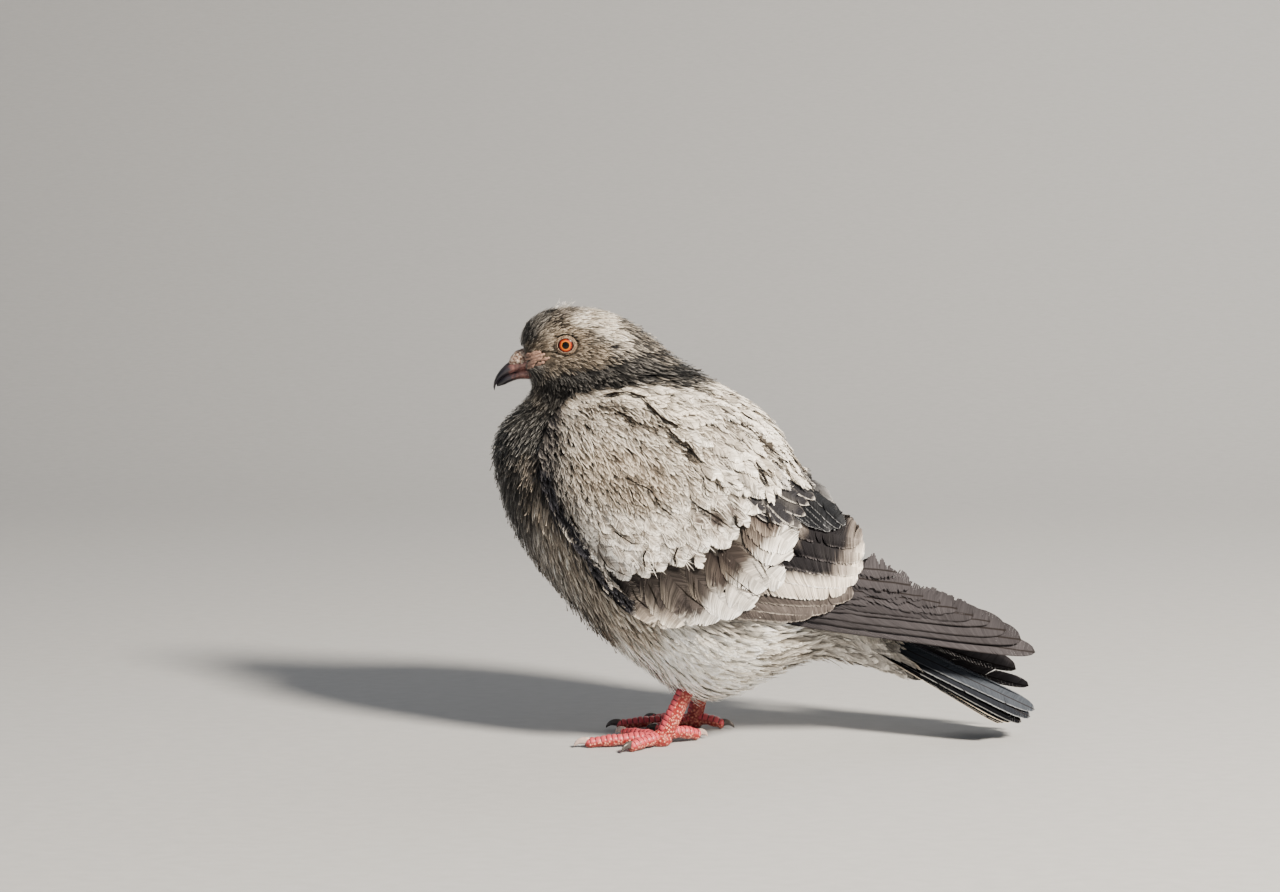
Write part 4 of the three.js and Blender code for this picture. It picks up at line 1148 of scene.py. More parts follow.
def covert_field(name, side, border, guides, grid, shape, lift, seed):
    """Pale coverts strewn over the part of the wing inside a border."""
    rng = np.random.default_rng(seed)
    middles = np.column_stack([rng.uniform(-76, 24, COVERTS_TRIED), rng.uniform(66, 170, COVERTS_TRIED)])
    middles = middles[within(middles, border)]
    middles = middles[gathered(middles, lie_at(middles, guides)[3], rng)]
    headings, length, breadth, _ = lie_at(middles, guides)
    headings = headings + rng.normal(0, 0.17, headings.shape)
    headings /= np.linalg.norm(headings, axis=1, keepdims=True)
    length = length * rng.uniform(0.85, 1.15, len(middles))
    row = dict(
        tips=middles + headings * length[:, None] * 0.45, headings=headings, length=length,
        breadth=breadth, lift=lift, tilt=0.03, ground=PALE, marks=PALE_MARKS,
    )
    wing_feathers(name, side, grid, shape, row, covert_barbs, seed + 1)


for side, word in ((LEFT, "left"), (RIGHT, "right")):
    wing_bed(word, side)
    for number, (name, row) in enumerate(FLIGHT_ROWS.items()):
        roots, tips = spaced(row["roots"], row["count"]), spaced(row["points"], row["count"])
        length = np.linalg.norm(tips - roots, axis=1)
        share = np.linspace(0, 1, row["count"])
        row = row | dict(tips=tips, headings=(tips - roots) / length[:, None], length=length, strips=True)
        if name == "primaries":
            row["wear"] = 0.1 + 1.7 * smooth((share - 0.35) / 0.3)
            row["drop"] = RIGHT_TIP_DROP * np.maximum((1 - share) ** 1.3, 0.4) if side == RIGHT else 0.0
        grid = barb_fan(80, 3, 0.16, 0.45)
        wing_feathers(
            f"{name}_{word}", side, grid, row["shape"], row, row["barbs"], 21 + number
        )
    for number, name in enumerate(COVERT_ROWS):
        covert_row(name, word, side, 60 + number)
    grid = barb_fan(30, 3, 0.5, 0.7)
    covert_field(f"median_coverts_{word}", side, MEDIANS, MEDIAN_LIE, grid, SOFT, (-1.4, 0.1), 40)
    grid = barb_fan(12, 2, 0.6)
    covert_field(f"lesser_coverts_{word}", side, SHOULDER, WING_LIE, grid, LESSER, (-1.0, 0.45), 41)

# Scapulars, mantle and rump: long loose feathers that lie over the tops of both wings and the back
# between them, from behind the collar to the tertials, and soft ones behind them down to the tail.
MANTLE_LIE = {
    "front": (-40, 161, -20, 13.0, 5.5, 3.2),
    "top": (-10, 169, -20, 20.0, 8.0, 5.2),
    "low edge front": (-22, 153, -38, 17.0, 8.0, 4.4),
    "low edge": (-10, 142, -46, 23.0, 10.0, 6.4),
    "low edge behind": (6, 134, -44, 26.0, 11.0, 7.4),
    "middle": (10, 150, -40, 27.0, 11.0, 7.6),
    "back": (26, 152, -42, 26.0, 11.0, 7.2),
    "end": (18, 140, -46, 26.0, 11.5, 7.6),
    "end of the back": (42, 138, -48, 17.0, 7.5, 4.4),
    "rump top": (56, 116, -58, 14.0, 7.0, 3.4),
    "rump": (66, 94, -60, 13.0, 6.5, 3.2),
}
MANTLE = [
    (-47, 163.5), (-39, 158), (-27, 155.5), (-20, 151), (-8, 139), (0, 133), (7, 131), (14, 132),
    (22, 133), (33, 136), (41, 131), (60, 140), (32, 190), (2, 182), (-8, 170), (-24, 166), (-36, 166),
]
RUMP = [(26, 150), (26, 128), (66, 76), (80, 84), (60, 128), (40, 150)]


def on_mantle(p):
    return within(p[:, [0, 2]], MANTLE)


def on_rump(p):
    return within(p[:, [0, 2]], RUMP) & (np.abs(p[:, 1]) < 9)


coat("scapulars", on_mantle, barb_fan(22, 3, 0.5, 0.7), LOOSE_SCAPULAR, covert_barbs, 17,
     (-0.7, 0.6, 0.1), 0.14, (dressed_form, dressed_tree), MANTLE_LIE, (SCAPULAR, SCAPULAR_MARKS))
coat("coat_rump", on_rump, barb_fan(14, 2, 0.4), LOOSE_SCAPULAR, downy, 18,
     (-0.6, 0.5, 0.15), 0.16, (dressed_form, dressed_tree), MANTLE_LIE, (SCAPULAR, SCAPULAR_MARKS))

# Flanks and upper tail coverts: soft feathers fluffed out into the space under the wing tips, where the
# body narrows to the tail.
FLANK_SMOOTHING = 30
flank_form = melted(["torso", "tail"], FLANK_SMOOTHING)
flank_tree = BVHTree.FromBMesh(flank_form)
FLANK_LIE = {
    "front": (50, 72, -18, 22.0, 9.0, 4.6),
    "high": (62, 84, -34, 22.0, 9.0, 4.6),
    "back": (80, 58, -20, 20.0, 8.0, 4.4),
}


def on_flank(p):
    return (p[:, 0] > 46) & (p[:, 0] < 88) & (p[:, 2] > 62 - 0.45 * np.maximum(p[:, 0] - 58, 0))


coat("coat_flanks", on_flank, barb_fan(14, 2, 0.4), LOOSE, downy, 23, (-0.6, 3.2, 0.7), 0.14,
     (flank_form, flank_tree), FLANK_LIE)

# Loose barbs: barbs that have slipped their hooks lie across the vanes, pale ones strewn over the small
# coverts and scapulars. The dark ones among them, and the bunches of dark ones where two vanes part, are
# painted shade of the thin gaps between barbs and vanes. They are drawn up to twice as thick as real ones,
# which are about 0.15 mm.
STRAND_STEPS = 4  # along a barb
STRANDS_TRIED = 2400  # places strewn over the wing, of which those inside the border keep a barb
LINE_POINTS = 40  # along a parting
STREWN = [
    (-50, 158), (-63, 150), (-69, 136), (-69, 122), (-63, 110), (-55, 101), (-48, 93), (-38, 89),
    (-26, 89), (-9, 94), (4, 101), (13, 110), (22, 121), (33, 131), (38, 137), (28, 146), (10, 157),
    (-10, 162), (-30, 162),
]
STREWN_LIE = dict(enumerate([*WING_LIE.values(), *MEDIAN_LIE.values(), *MANTLE_LIE.values()]))
# Where the vanes part, painted as dark shade in the gaps: a line in side view and how wide the parting
# gapes
PARTINGS = [
    ([(-46, 160.5), (-38, 161.8), (-31, 162.4)], 1.3), ([(-34.5, 163), (-29, 160.5), (-24, 160)], 1.3),
    ([(-41, 155.6), (-33, 152.2), (-27, 148)], 1.0), ([(-28, 160.8), (-18.4, 151.5), (-9, 146.9)], 1.8),
    ([(-18.4, 149.8), (-10.8, 142.3), (-6, 139.5), (1, 130.5)], 1.3),
    ([(-36, 127.4), (-22.6, 121.3), (-19.2, 114.6), (-9.5, 107)], 0.9),
    ([(-5.8, 119.6), (-3.2, 114.6), (6, 109.5), (13.6, 103.7)], 1.0),
    ([(-0.3, 128.9), (1, 118.8), (6.8, 115.4)], 0.6), ([(10.2, 124.7), (18.6, 120)], 0.7),
    ([(14, 110.4), (14.4, 106.2), (16.9, 104.1)], 1.5), ([(24.5, 128.9), (29.5, 121.3)], 1.3),
    ([(17.3, 154.2), (23.2, 150.4)], 1.4), ([(19, 149), (29, 139), (38, 131)], 0.8),
    ([(34, 133.5), (41, 127)], 0.8), ([(-24, 97.4), (-26.1, 92.4), (-24.9, 84.8)], 1.0),
    ([(-10.6, 97.8), (-12.7, 91.5), (-11, 86.5)], 1.0),
    ([(-46.3, 95.7), (-41.3, 87.3), (-28.7, 81.9)], 0.5),
    ([(-41.3, 105), (-31.2, 98.3), (-23.6, 97.8)], 0.6), ([(-58.9, 110.9), (-53, 101.6)], 0.8),
    ([(-32, 80.6), (-28.6, 73), (-21.9, 67.2)], 0.9),
    ([(-24.5, 82.3), (-21.1, 75.6), (-18.6, 68)], 0.7),
    ([(-11.9, 81.5), (-6.8, 75.6), (3.3, 67.2)], 0.9),
    ([(-4.3, 85.7), (-3.9, 75.6), (-1.8, 69.7)], 0.7), ([(7.9, 87.3), (17.6, 78.9), (29.3, 69.7)], 0.5),
    ([(23.4, 95.7), (24.3, 89.9), (29.3, 80.6)], 0.6), ([(27.8, 111.2), (31.2, 102.8)], 1.0),
]


def laid_strands(name, side, paths, width, lift, tones):
    """Ribbons that taper at both ends, along paths of [x, z] places on the wing."""
    count, stations = paths.shape[:2]
    run = np.gradient(paths, axis=1)
    run /= np.linalg.norm(run, axis=2, keepdims=True) + 1e-9
    aside = np.stack([-run[..., 1], run[..., 0]], axis=2)
    share = np.linspace(0, 1, stations)
    half = (width[:, None] / 2 * np.sin(math.pi * (0.06 + 0.9 * share)))[..., None]
    flat = np.stack([paths - aside * half, paths + aside * half], axis=2).reshape(count, -1, 2)
    level = np.repeat(lift[:, None] * (0.5 + 0.5 * np.sin(math.pi * share)), 2, axis=1)
    points = on_wing(flat[..., 0], flat[..., 1], level, side)
    first = np.arange(stations - 1)[:, None] * 2
    quads = first + (np.array([[0, 1, 3, 2]]) if side == LEFT else np.array([[0, 2, 3, 1]]))
    colours = np.repeat(tones[:, None], stations * 2, axis=1)
    fields = np.stack([np.full(count, 0.5), VANE_STEP * np.arange(count)], axis=1)
    fields = np.broadcast_to(fields[:, None], flat.shape)
    bake = (flat[:, :1] - BAKE_CORNER) / BAKE_SPAN + (flat - flat[:, :1]) / BAKE_SPAN * 0.1
    made = feather_mesh(name, points, {"quads": quads}, fields, colours, bake, covert_barbs)
    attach(made, "root")


def strewn_strands(name, side, seed):
    """Single pale barbs across the small feathers, and dark ones painted as the shade in thin gaps between
    barbs.
    """
    rng = np.random.default_rng(seed)
    roots = rng.uniform((-72, 76), (46, 165), (STRANDS_TRIED, 2))
    roots = roots[within(roots, STREWN)]
    count = len(roots)
    headings = lie_at(roots, STREWN_LIE)[0]
    turn = np.arctan2(headings[:, 1], headings[:, 0])[:, None] + rng.normal(0, 0.13, (count, 1))
    turn = turn + rng.normal(0, 0.35, (count, 1)) * np.linspace(0, 1, STRAND_STEPS + 1)
    step = rng.uniform(3.0, 9.0, (count, 1, 1)) / STRAND_STEPS
    paths = roots[:, None] + np.cumsum(np.stack([np.cos(turn), np.sin(turn)], axis=2) * step, axis=1)
    vane, fringe = painted(roots, PALE, PALE_MARKS)
    pale = rng.random((count, 1)) < 0.45
    # Pale ones take the fringe colour. Dark ones are painted shade, at an eighth to a half of the vane
    # colour.
    tones = np.where(pale, fringe * 1.05, vane * rng.uniform(0.12, 0.5, (count, 1))).clip(0, 1)
    width = rng.uniform(0.15, 0.3, count)
    laid_strands(name, side, paths, width, rng.uniform(0.4, 1.2, count), tones)


def painted_parting_shade(name, side, seed):
    """Dark ribbons bunched like barbs along the lines where vanes part: painted shade in the gaps there."""
    rng = np.random.default_rng(seed)
    paths, widths = [], []
    for line, gape in PARTINGS:
        line = spaced(line, LINE_POINTS)
        reach = np.linalg.norm(np.diff(line, axis=0), axis=1).sum()
        for _ in range(round(reach * 1.1 * gape) + 1):
            length = min(rng.uniform(4, 11), reach)
            start = rng.uniform(0, reach - length)
            at = (start + np.linspace(0, length, STRAND_STEPS + 1)) / reach * (LINE_POINTS - 1)
            place = np.column_stack([np.interp(at, np.arange(LINE_POINTS), line[:, k]) for k in (0, 1)])
            drift = np.linspace(-0.5, 0.5, STRAND_STEPS + 1)[:, None] * rng.normal(0, 0.6, (1, 2))
            paths.append(place + rng.normal(0, 0.14 * gape, (1, 2)) + drift)
            widths.append(rng.uniform(0.16, 0.36) * math.sqrt(gape))
    # Near black: painted shade in the gap.
    tones = np.array(linear("#17130f")[:3]) * rng.uniform(0.3, 1.6, (len(paths), 1))
    lift = rng.uniform(1.2, 1.8, len(paths))
    laid_strands(name, side, np.array(paths), np.array(widths), lift, tones)


for side, word in ((LEFT, "left"), (RIGHT, "right")):
    strewn_strands(f"loose_barbs_and_shade_lines_{word}", side, 71)
    painted_parting_shade(f"shade_of_partings_{word}", side, 72)

# ------------------------------------------------------------------------------------------------
# Tail: twelve rectrices folded one over another, the middle pair on top.

# Where the tail's line starts and how it runs down from there
TAIL_ROOT = np.array([66.0, 0, 53.5])
TAIL_SLOPE = math.radians(-27.6)
# Each pair from the top: its middle's distance from the plane of symmetry at root and tip, its height
# over the tail's line, its roll in degrees, breadth, length, colours of vane and edge
# The vanes of the lower pairs, from the third down, are near black: painted shade, where the pairs above
# shadow them.
RECTRICES = [
    ((3.0, 4.5), 6.0, 32, 13, 98, "#3e434b", "#80858b"),
    ((4.0, 8.0), 2.4, 34, 12.5, 97, "#25282e", "#8f9499"),
    ((4.5, 10.0), -1.4, 30, 12, 94, "#0e0f12", "#7b7d80"),
    ((5.0, 12.0), -3.4, 25, 12, 89, "#08090b", "#d3c9ba"),
    ((5.5, 14.0), -4.8, 18, 12, 86, "#08090b", "#8a8782"),
    ((6.0, 16.0), -5.8, 12, 12, 84, "#0c0c0e", "#d9cfc0"),
]


def rectrices():
    """All twelve in one piece, in pairs of left and right."""
    rng = np.random.default_rng(50)
    grid = barb_fan(80, 3, 0.13, 0.45)
    table = [row for row in RECTRICES for _ in (LEFT, RIGHT)]
    count = len(table)
    side = np.tile([LEFT, RIGHT], len(RECTRICES))[:, None]
    spread, rise, roll, breadth, reach = (np.array([row[k] for row in table], float) for k in range(5))
    along, across, height, edging, shade = fanned(grid, count, rng, LONG | dict(outer=0.8, streak=0.05))
    offset = across * breadth[:, None] / 2
    roll = np.radians(roll)[:, None]
    y = spread[:, :1] * (1 - along) + spread[:, 1:] * along + offset * np.cos(roll)
    level = rise[:, None] * (0.3 + 0.7 * along) - offset * np.sin(roll) + height + 0.25 * (side < 0)
    back = np.array([math.cos(TAIL_SLOPE), 0, math.sin(TAIL_SLOPE)])
    up = np.array([-math.sin(TAIL_SLOPE), 0, math.cos(TAIL_SLOPE)])
    points = TAIL_ROOT + back * (reach[:, None] * along)[..., None] + up * level[..., None]
    points[..., 1] = y * side
    vane = np.array([linear(row[5])[:3] for row in table])[:, None]
    edge = np.array([linear(row[6])[:3] for row in table])[:, None]
    colours = (vane + (edge - vane) * edging[..., None]) * shade[..., None]
    fields = vane_map(across, grid, reach)
    bake = bake_strips(along, across)
    made = feather_mesh("rectrices", points, grid, fields, colours.clip(0, 1), bake, flight_barbs)
    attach(made, "root")
    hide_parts("tail")


rectrices()

# ------------------------------------------------------------------------------------------------
# Eyes: a wet globe with an orange iris round a black pupil, in a ring of bare folded skin.

EYE_CAP = 4.0  # mm from the globe's centre; the cornea is flatter beyond it
CORNEA_FLATNESS = 0.6
IRIS_SPAN = 4.5  # mm from the pupil's centre to the end of the iris's bands
# Bands of the iris by their share of that span, from the pupil out
IRIS = [
    (0.33, "#020202"), (0.37, "#2a1704"), (0.40, "#b86a0a"), (0.49, "#a84704"), (0.57, "#7c2002"),
    (0.64, "#3d0a02"), (0.74, "#140302"), (0.84, "#040303"),
]
# Folds of the lids: distance from the pupil's axis, half thickness, distance out from the globe's centre
LID_FOLDS = [(3.72, 0.22, 4.0), (4.05, 0.26, 3.65), (4.38, 0.28, 3.2), (4.7, 0.3, 2.7)]

wet = {"Coat Weight": 0.5, "Coat Roughness": 0.03, "Coat IOR": 1.34}
eye_material, tree, shader = surface(
    "iris_under_cornea", {"Roughness": 0.5, "Specular IOR Level": 0.1} | wet
)
place = add(tree, "TexCoord").outputs["Object"]
offset = add(tree, "VectorMath", {0: place, 1: Vector(to_row(EYE))}, operation="SUBTRACT")
flat = add(tree, "VectorMath", {0: offset.outputs["Vector"], 1: (1000, 0, 1000)}, operation="MULTIPLY")
radius = add(tree, "VectorMath", {0: flat.outputs["Vector"]}, operation="LENGTH")
spokes = add(tree, "VectorMath", {0: flat.outputs["Vector"]}, operation="NORMALIZE")
fibres = add(tree, "TexNoise", {"Vector": spokes.outputs["Vector"], "Scale": 9.0, "Detail": 4.0})
ragged = add(tree, "MapRange", {"Value": fibres.outputs["Fac"], "To Min": -0.45, "To Max": 0.45})
edge = add(tree, "Math", {0: radius.outputs["Value"], 1: ragged.outputs["Result"]}, operation="ADD")
share = add(tree, "Math", {0: edge.outputs["Value"], 1: IRIS_SPAN}, operation="DIVIDE")
joined_to(shader, tree, banded(tree, share.outputs["Value"], IRIS))

lid_material, tree, shader = surface("bare_eyelid_skin", {"Roughness": 0.6, "Specular IOR Level": 0.35})
place = add(tree, "TexCoord").outputs["Object"]
crepe = add(tree, "TexNoise", {"Vector": place, "Scale": 1700.0, "Detail": 4.0})
folds = add(tree, "MapRange", {"Value": crepe.outputs["Fac"], "From Min": 0.35, "From Max": 0.65})
rise = add(tree, "Bump", {"Height": folds.outputs["Result"], "Distance": 0.0004})
joined_to(shader, tree, blended(tree, folds.outputs["Result"], "#2b2018", "#ac957e"), rise)

for side, word in ((LEFT, "left"), (RIGHT, "right")):
    middle = Vector((EYE.x, EYE_Y * side, EYE.z))
    globe = bmesh.new()
    bmesh.ops.create_uvsphere(globe, u_segments=48, v_segments=32, radius=EYE_RADIUS)
    for vert in globe.verts:
        vert.co.z = min(vert.co.z, EYE_CAP + (vert.co.z - EYE_CAP) * CORNEA_FLATNESS)
        turned = Vector((vert.co.x, vert.co.z * side, vert.co.y * -side))
        vert.co = Vector(to_row(turned + middle))
    bmesh.ops.recalc_face_normals(globe, faces=globe.faces)
    eye = object_of(f"eyeball_{word}", globe, eye_material)
    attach(eye, "root")
    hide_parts(f"eye_{word}")

    lids = bmesh.new()
    for reach, thick, out in LID_FOLDS:
        ring = bmesh.ops.create_circle(lids, segments=8, radius=thick)["verts"]
        bmesh.ops.rotate(lids, verts=ring, cent=(0, 0, 0), matrix=Matrix.Rotation(math.pi / 2, 3, "X"))
        bmesh.ops.translate(lids, verts=ring, vec=(reach, 0, out))
        edges = list({e for v in ring for e in v.link_edges})
        bmesh.ops.spin(lids, geom=ring + edges, cent=(0, 0, 0), axis=(0, 0, 1), angle=2 * math.pi, steps=56,
                       use_merge=True)
    bmesh.ops.remove_doubles(lids, verts=lids.verts, dist=0.01)
    for vert in lids.verts:
        turn = math.atan2(vert.co.y, vert.co.x)
        vert.co.z += 0.10 * math.sin(turn * 17) + 0.05 * math.sin(turn * 31 + 1)
        stretched = Vector((vert.co.x * 1.04, vert.co.z * side, vert.co.y * 0.9))
        vert.co = Vector(to_row(stretched + middle))
    bmesh.ops.recalc_face_normals(lids, faces=lids.faces)
    lid = object_of(f"eyelids_{word}", lids, lid_material)
    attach(lid, "root")

# ------------------------------------------------------------------------------------------------
# Bill: a hooked upper mandible over a lower one, slate horn at the tip and pinkish towards the base,
# under two chalky cere bulbs that overhang the nostrils, and folds of bare skin behind it.

# [upper edge x, z, lower edge x, z, half width] from inside the face to the tip
UPPER_BILL = [
    (-72.0, 178.0, -72.0, 174.0, 0),
    (-73.0, 179.0, -72.6, 172.9, 5.6),
    (-79.0, 177.8, -79.0, 171.4, 5.3),
    (-84.6, 176.4, -83.6, 169.9, 4.8),
    (-88.8, 174.4, -87.2, 168.9, 4.0),
    (-92.1, 171.2, -90.2, 167.8, 3.0),
    (-94.4, 167.4, -92.6, 166.2, 2.0),
    (-95.2, 163.9, -94.1, 164.0, 1.0),
    (-94.8, 161.7, -94.7, 161.7, 0),
]
LOWER_BILL = [
    (-72.4, 172.5, -72.4, 169.0, 0),
    (-73.4, 174.0, -73.4, 167.4, 4.9),
    (-79.1, 172.8, -79.0, 167.0, 4.8),
    (-83.8, 171.4, -83.4, 166.9, 4.3),
    (-87.6, 169.8, -87.5, 165.6, 3.4),
    (-90.8, 168.2, -90.2, 164.4, 2.4),
    (-93.9, 165.4, -93.6, 163.6, 0),
]


def curve_through(rows, share):
    """A smooth line through rows of numbers at shares of the way along it."""
    rows = np.array(rows, float)
    at = np.clip(share, 0, 1) * (len(rows) - 1)
    i = min(int(at), len(rows) - 2)
    t = at - i
    p0, p1, p2, p3 = (rows[min(max(k, 0), len(rows) - 1)] for k in (i - 1, i, i + 1, i + 2))
    first, second, third = p2 - p0, 2 * p0 - 5 * p1 + 4 * p2 - p3, 3 * p1 - p0 - 3 * p2 + p3
    return 0.5 * (2 * p1 + first * t + second * t**2 + third * t**3)


def mandible(rows, keel):
    """A closed form through the rows of one mandible. keel above 0 draws its ridge sharper."""
    form = bmesh.new()
    bmesh.ops.create_uvsphere(form, u_segments=40, v_segments=60, radius=1)
    for vert in form.verts:
        share = math.acos(max(-1, min(1, vert.co.z))) / math.pi
        turn = math.atan2(vert.co.y, vert.co.x)
        top_x, top_z, low_x, low_z, half = curve_through(rows, share)
        up = (1 + math.cos(turn)) / 2
        narrow = abs(math.sin(turn)) ** (1 + keel * up)
        across = math.copysign(max(half, 0) * narrow, math.sin(turn))
        vert.co = Vector((low_x + (top_x - low_x) * up, across, low_z + (top_z - low_z) * up))
    bmesh.ops.recalc_face_normals(form, faces=form.faces)
    return form


BILL_TIP = (-96, 0, 164)
HORN = [(0.05, "#17151b"), (0.25, "#2c272c"), (0.42, "#6b4a47"), (0.62, "#a0756c")]  # from the tip back
CHALK = [(0.36, "#4f3a33"), (0.46, "#8f776a"), (0.6, "#cdbcae")]  # from worn skin to full bloom

horn, tree, shader = surface(
    "slate_horn", {"Roughness": 0.32, "Specular IOR Level": 0.5, "Coat Weight": 0.15}
)
place = add(tree, "TexCoord").outputs["Object"]
distance = add(tree, "VectorMath", {0: place, 1: Vector(to_row(BILL_TIP))}, operation="DISTANCE")
toward = add(tree, "MapRange", {"Value": distance.outputs["Value"], "From Min": 0.006, "From Max": 0.016})
mottle = add(tree, "TexNoise", {"Vector": place, "Scale": 420.0, "Detail": 5.0})
patchy = add(tree, "Math", {0: toward.outputs["Result"], 1: mottle.outputs["Fac"]}, operation="MULTIPLY")
waves = {"Vector": place, "Scale": 260.0, "Distortion": 3.0}
layers = add(tree, "TexWave", waves, bands_direction="DIAGONAL")
rise = add(tree, "Bump", {"Height": layers.outputs["Fac"], "Distance": 0.00004, "Strength": 0.5})
joined_to(shader, tree, banded(tree, patchy.outputs["Value"], HORN), rise)

cere, tree, shader = surface("chalky_cere", {"Roughness": 0.75, "Specular IOR Level": 0.25})
place = add(tree, "TexCoord").outputs["Object"]
bloom = add(tree, "TexNoise", {"Vector": place, "Scale": 750.0, "Detail": 6.0})
pores = add(tree, "TexVoronoi", {"Vector": place, "Scale": 2200.0})
rise = add(tree, "Bump", {"Height": pores.outputs["Distance"], "Distance": 0.0001, "Strength": 0.7})
fine = rise.outputs["Normal"]
rise = add(tree, "Bump", {"Height": bloom.outputs["Fac"], "Distance": 0.0008, "Normal": fine})
joined_to(shader, tree, banded(tree, bloom.outputs["Fac"], CHALK), rise)


def in_row(form):
    """Moves a form from the bird's frame to the row's."""
    for vert in form.verts:
        vert.co = Vector(to_row(vert.co))
    return form


upper = object_of("upper_mandible", in_row(mandible(UPPER_BILL, 0.7)), horn)
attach(upper, "root")
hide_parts("bill_upper")
lower = object_of("lower_mandible", in_row(mandible(LOWER_BILL, 0)), horn)
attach(lower, "root")
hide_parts("bill_lower")

gape_skin, tree, shader = surface("bare_gape_skin", {"Roughness": 0.6, "Specular IOR Level": 0.3})
place = add(tree, "TexCoord").outputs["Object"]
folds = add(tree, "TexNoise", {"Vector": place, "Scale": 900.0, "Detail": 5.0})
rise = add(tree, "Bump", {"Height": folds.outputs["Fac"], "Distance": 0.0003})
joined_to(shader, tree, blended(tree, folds.outputs["Fac"], "#3d2620", "#bd9a88"), rise)
# Folds of skin behind the bill: middle x and z, half length and half height, tilt in radians
FOLDS = [
    (-76.4, 179.2, 4.0, 0.95, 0.22), (-75.8, 177.8, 4.6, 0.95, 0.3), (-75.4, 176.3, 3.8, 0.9, 0.38),
    (-76.8, 175.0, 2.8, 0.8, 0.4), (-72.6, 178.6, 2.0, 0.8, 0.45), (-74.2, 180.0, 1.6, 0.7, 0.1),
    (-77.4, 173.4, 2.2, 0.8, 0.5), (-70.6, 177.0, 2.2, 0.8, 0.35), (-73.0, 174.9, 2.4, 0.8, 0.4),
]
FOLD_DEPTH, FOLD_SUNK = 0.8, 0.25  # half depth of a fold and how deep its middle lies in the face
gape = bmesh.new()
for side in (LEFT, RIGHT):
    for number, (x, z, length, thick, tilt) in enumerate(FOLDS):
        made = bmesh.ops.create_uvsphere(gape, u_segments=24, v_segments=14, radius=1)["verts"]
        for vert in made:
            wave = 1 + 0.3 * math.sin(vert.co.x * 7 + number * 2)
            local = Vector((vert.co.x * length, vert.co.y * FOLD_DEPTH, vert.co.z * thick * wave))
            local.rotate(Matrix.Rotation(-tilt, 3, "Y"))
            face = plumage_tree.ray_cast(Vector((x + local.x, -60, z + local.z)), Vector((0, 1, 0)))[0]
            out = (FOLD_SUNK - local.y * side - face.y) * side
            vert.co = Vector((x + local.x, out, z + local.z))
gape = object_of("gape_skin", in_row(gape), gape_skin)
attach(gape, "root")

CERE = {"at": (-81.9, 2.4, 176.9), "half size": (6.4, 3.4, 3.9), "tilt": 0.36}
long, wide, high = CERE["half size"]
bulbs = bmesh.new()
for side in (LEFT, RIGHT):
    made = bmesh.ops.create_uvsphere(bulbs, u_segments=32, v_segments=20, radius=1)["verts"]
    for vert in made:
        wrinkle = 0.05 * math.sin(vert.co.x * 11 + vert.co.z * 5)
        wrinkle += 0.04 * math.sin(vert.co.z * 13 - vert.co.x * 6 + side)
        pinch = 1 - 0.35 * max(-vert.co.x, 0) ** 2 + wrinkle
        vert.co = Vector((vert.co.x * long, vert.co.y * wide * pinch, vert.co.z * high * pinch))
    bmesh.ops.rotate(bulbs, verts=made, cent=(0, 0, 0), matrix=Matrix.Rotation(-CERE["tilt"], 3, "Y"))
    x, y, z = CERE["at"]
    bmesh.ops.translate(bulbs, verts=made, vec=(x, y * side, z))
bulbs = object_of("cere", in_row(bulbs), cere)
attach(bulbs, "root")

# ------------------------------------------------------------------------------------------------
# Legs, feet and claws: coral red skin in overlapping scutes down the shank and along the toes, small
# round scales on their other side, and curved horn claws.

# Each foot: where its toes meet, the top of its shank, and for each toe where its skin ends, its
# radius, and its height where it leaves the foot.
FEET = {
    "left": {
        "centre": (-18, -20.5), "top": (-2.5, -19, 34),
        "toes": {"middle": ((-53, -25.2), 2.8, 3.8), "outer": ((-32.5, -35), 2.9, 3.8),
                 "inner": ((-36, 0), 2.6, 3.6), "hind": ((0, -7.5), 3.1, 5.6)},
    },
    "right": {
        "centre": (-2.5, 21.5), "top": (5, 19.5, 34),
        "toes": {"middle": ((-39, 16.5), 2.8, 3.8), "outer": ((-22, 31.5), 2.7, 3.6),
                 "inner": ((-21.5, 7.5), 2.6, 3.6), "hind": ((12.5, 17), 2.8, 4.4)},
    },
}
SCUTE = 2.6  # mm along a toe or up the shank
TOE_TIP = 0.84  # share of a toe's radius left at its tip
SHANK_RADIUS, SHANK_LOW = 3.9, 1.6  # and its lower end's height over the floor
SHANK_TURN = 0.35  # its scutes reach so much less far round it than a toe's
PAD, PAD_HEIGHT = (5.2, 4.6, 4.2), 3.2  # half sizes of the foot's pad, and its middle's height
CLAW_LENGTH, CLAW_RADIUS, CLAW_INSIDE = 7.2, 2.05, 2.4
CLAW_TIP, CLAW_ARCH = 0.8, 0.55  # heights of the tip over the floor and of the arch over its root
PALE_CLAWS = [("left", "middle"), ("left", "inner"), ("left", "hind")]

scaled_skin, tree, shader = surface("scaled_foot_skin", {"Roughness": 0.4, "Specular IOR Level": 0.45})
place = add(tree, "UVMap", uv_map="scutes")
parts = add(tree, "SeparateXYZ", {"Vector": place.outputs["UV"]})
saw = add(tree, "Math", {0: parts.outputs["X"], 1: 0.5}, operation="PINGPONG")
seam = add(tree, "MapRange", {"Value": saw.outputs["Value"], "From Min": 0.12, "From Max": 0.05})
above = add(tree, "MapRange", {"Value": parts.outputs["Y"], "From Min": 0.0, "From Max": 0.25})
cut = add(tree, "Math", {0: seam.outputs["Result"], 1: above.outputs["Result"]}, operation="MULTIPLY")
place = add(tree, "TexCoord").outputs["Object"]
worn = add(tree, "TexNoise", {"Vector": place, "Scale": 500.0, "Detail": 5.0})
flesh = blended(tree, worn.outputs["Fac"], "#9a222c", "#d9606a")
pebbles = add(tree, "TexVoronoi", {"Vector": place, "Scale": 800.0})
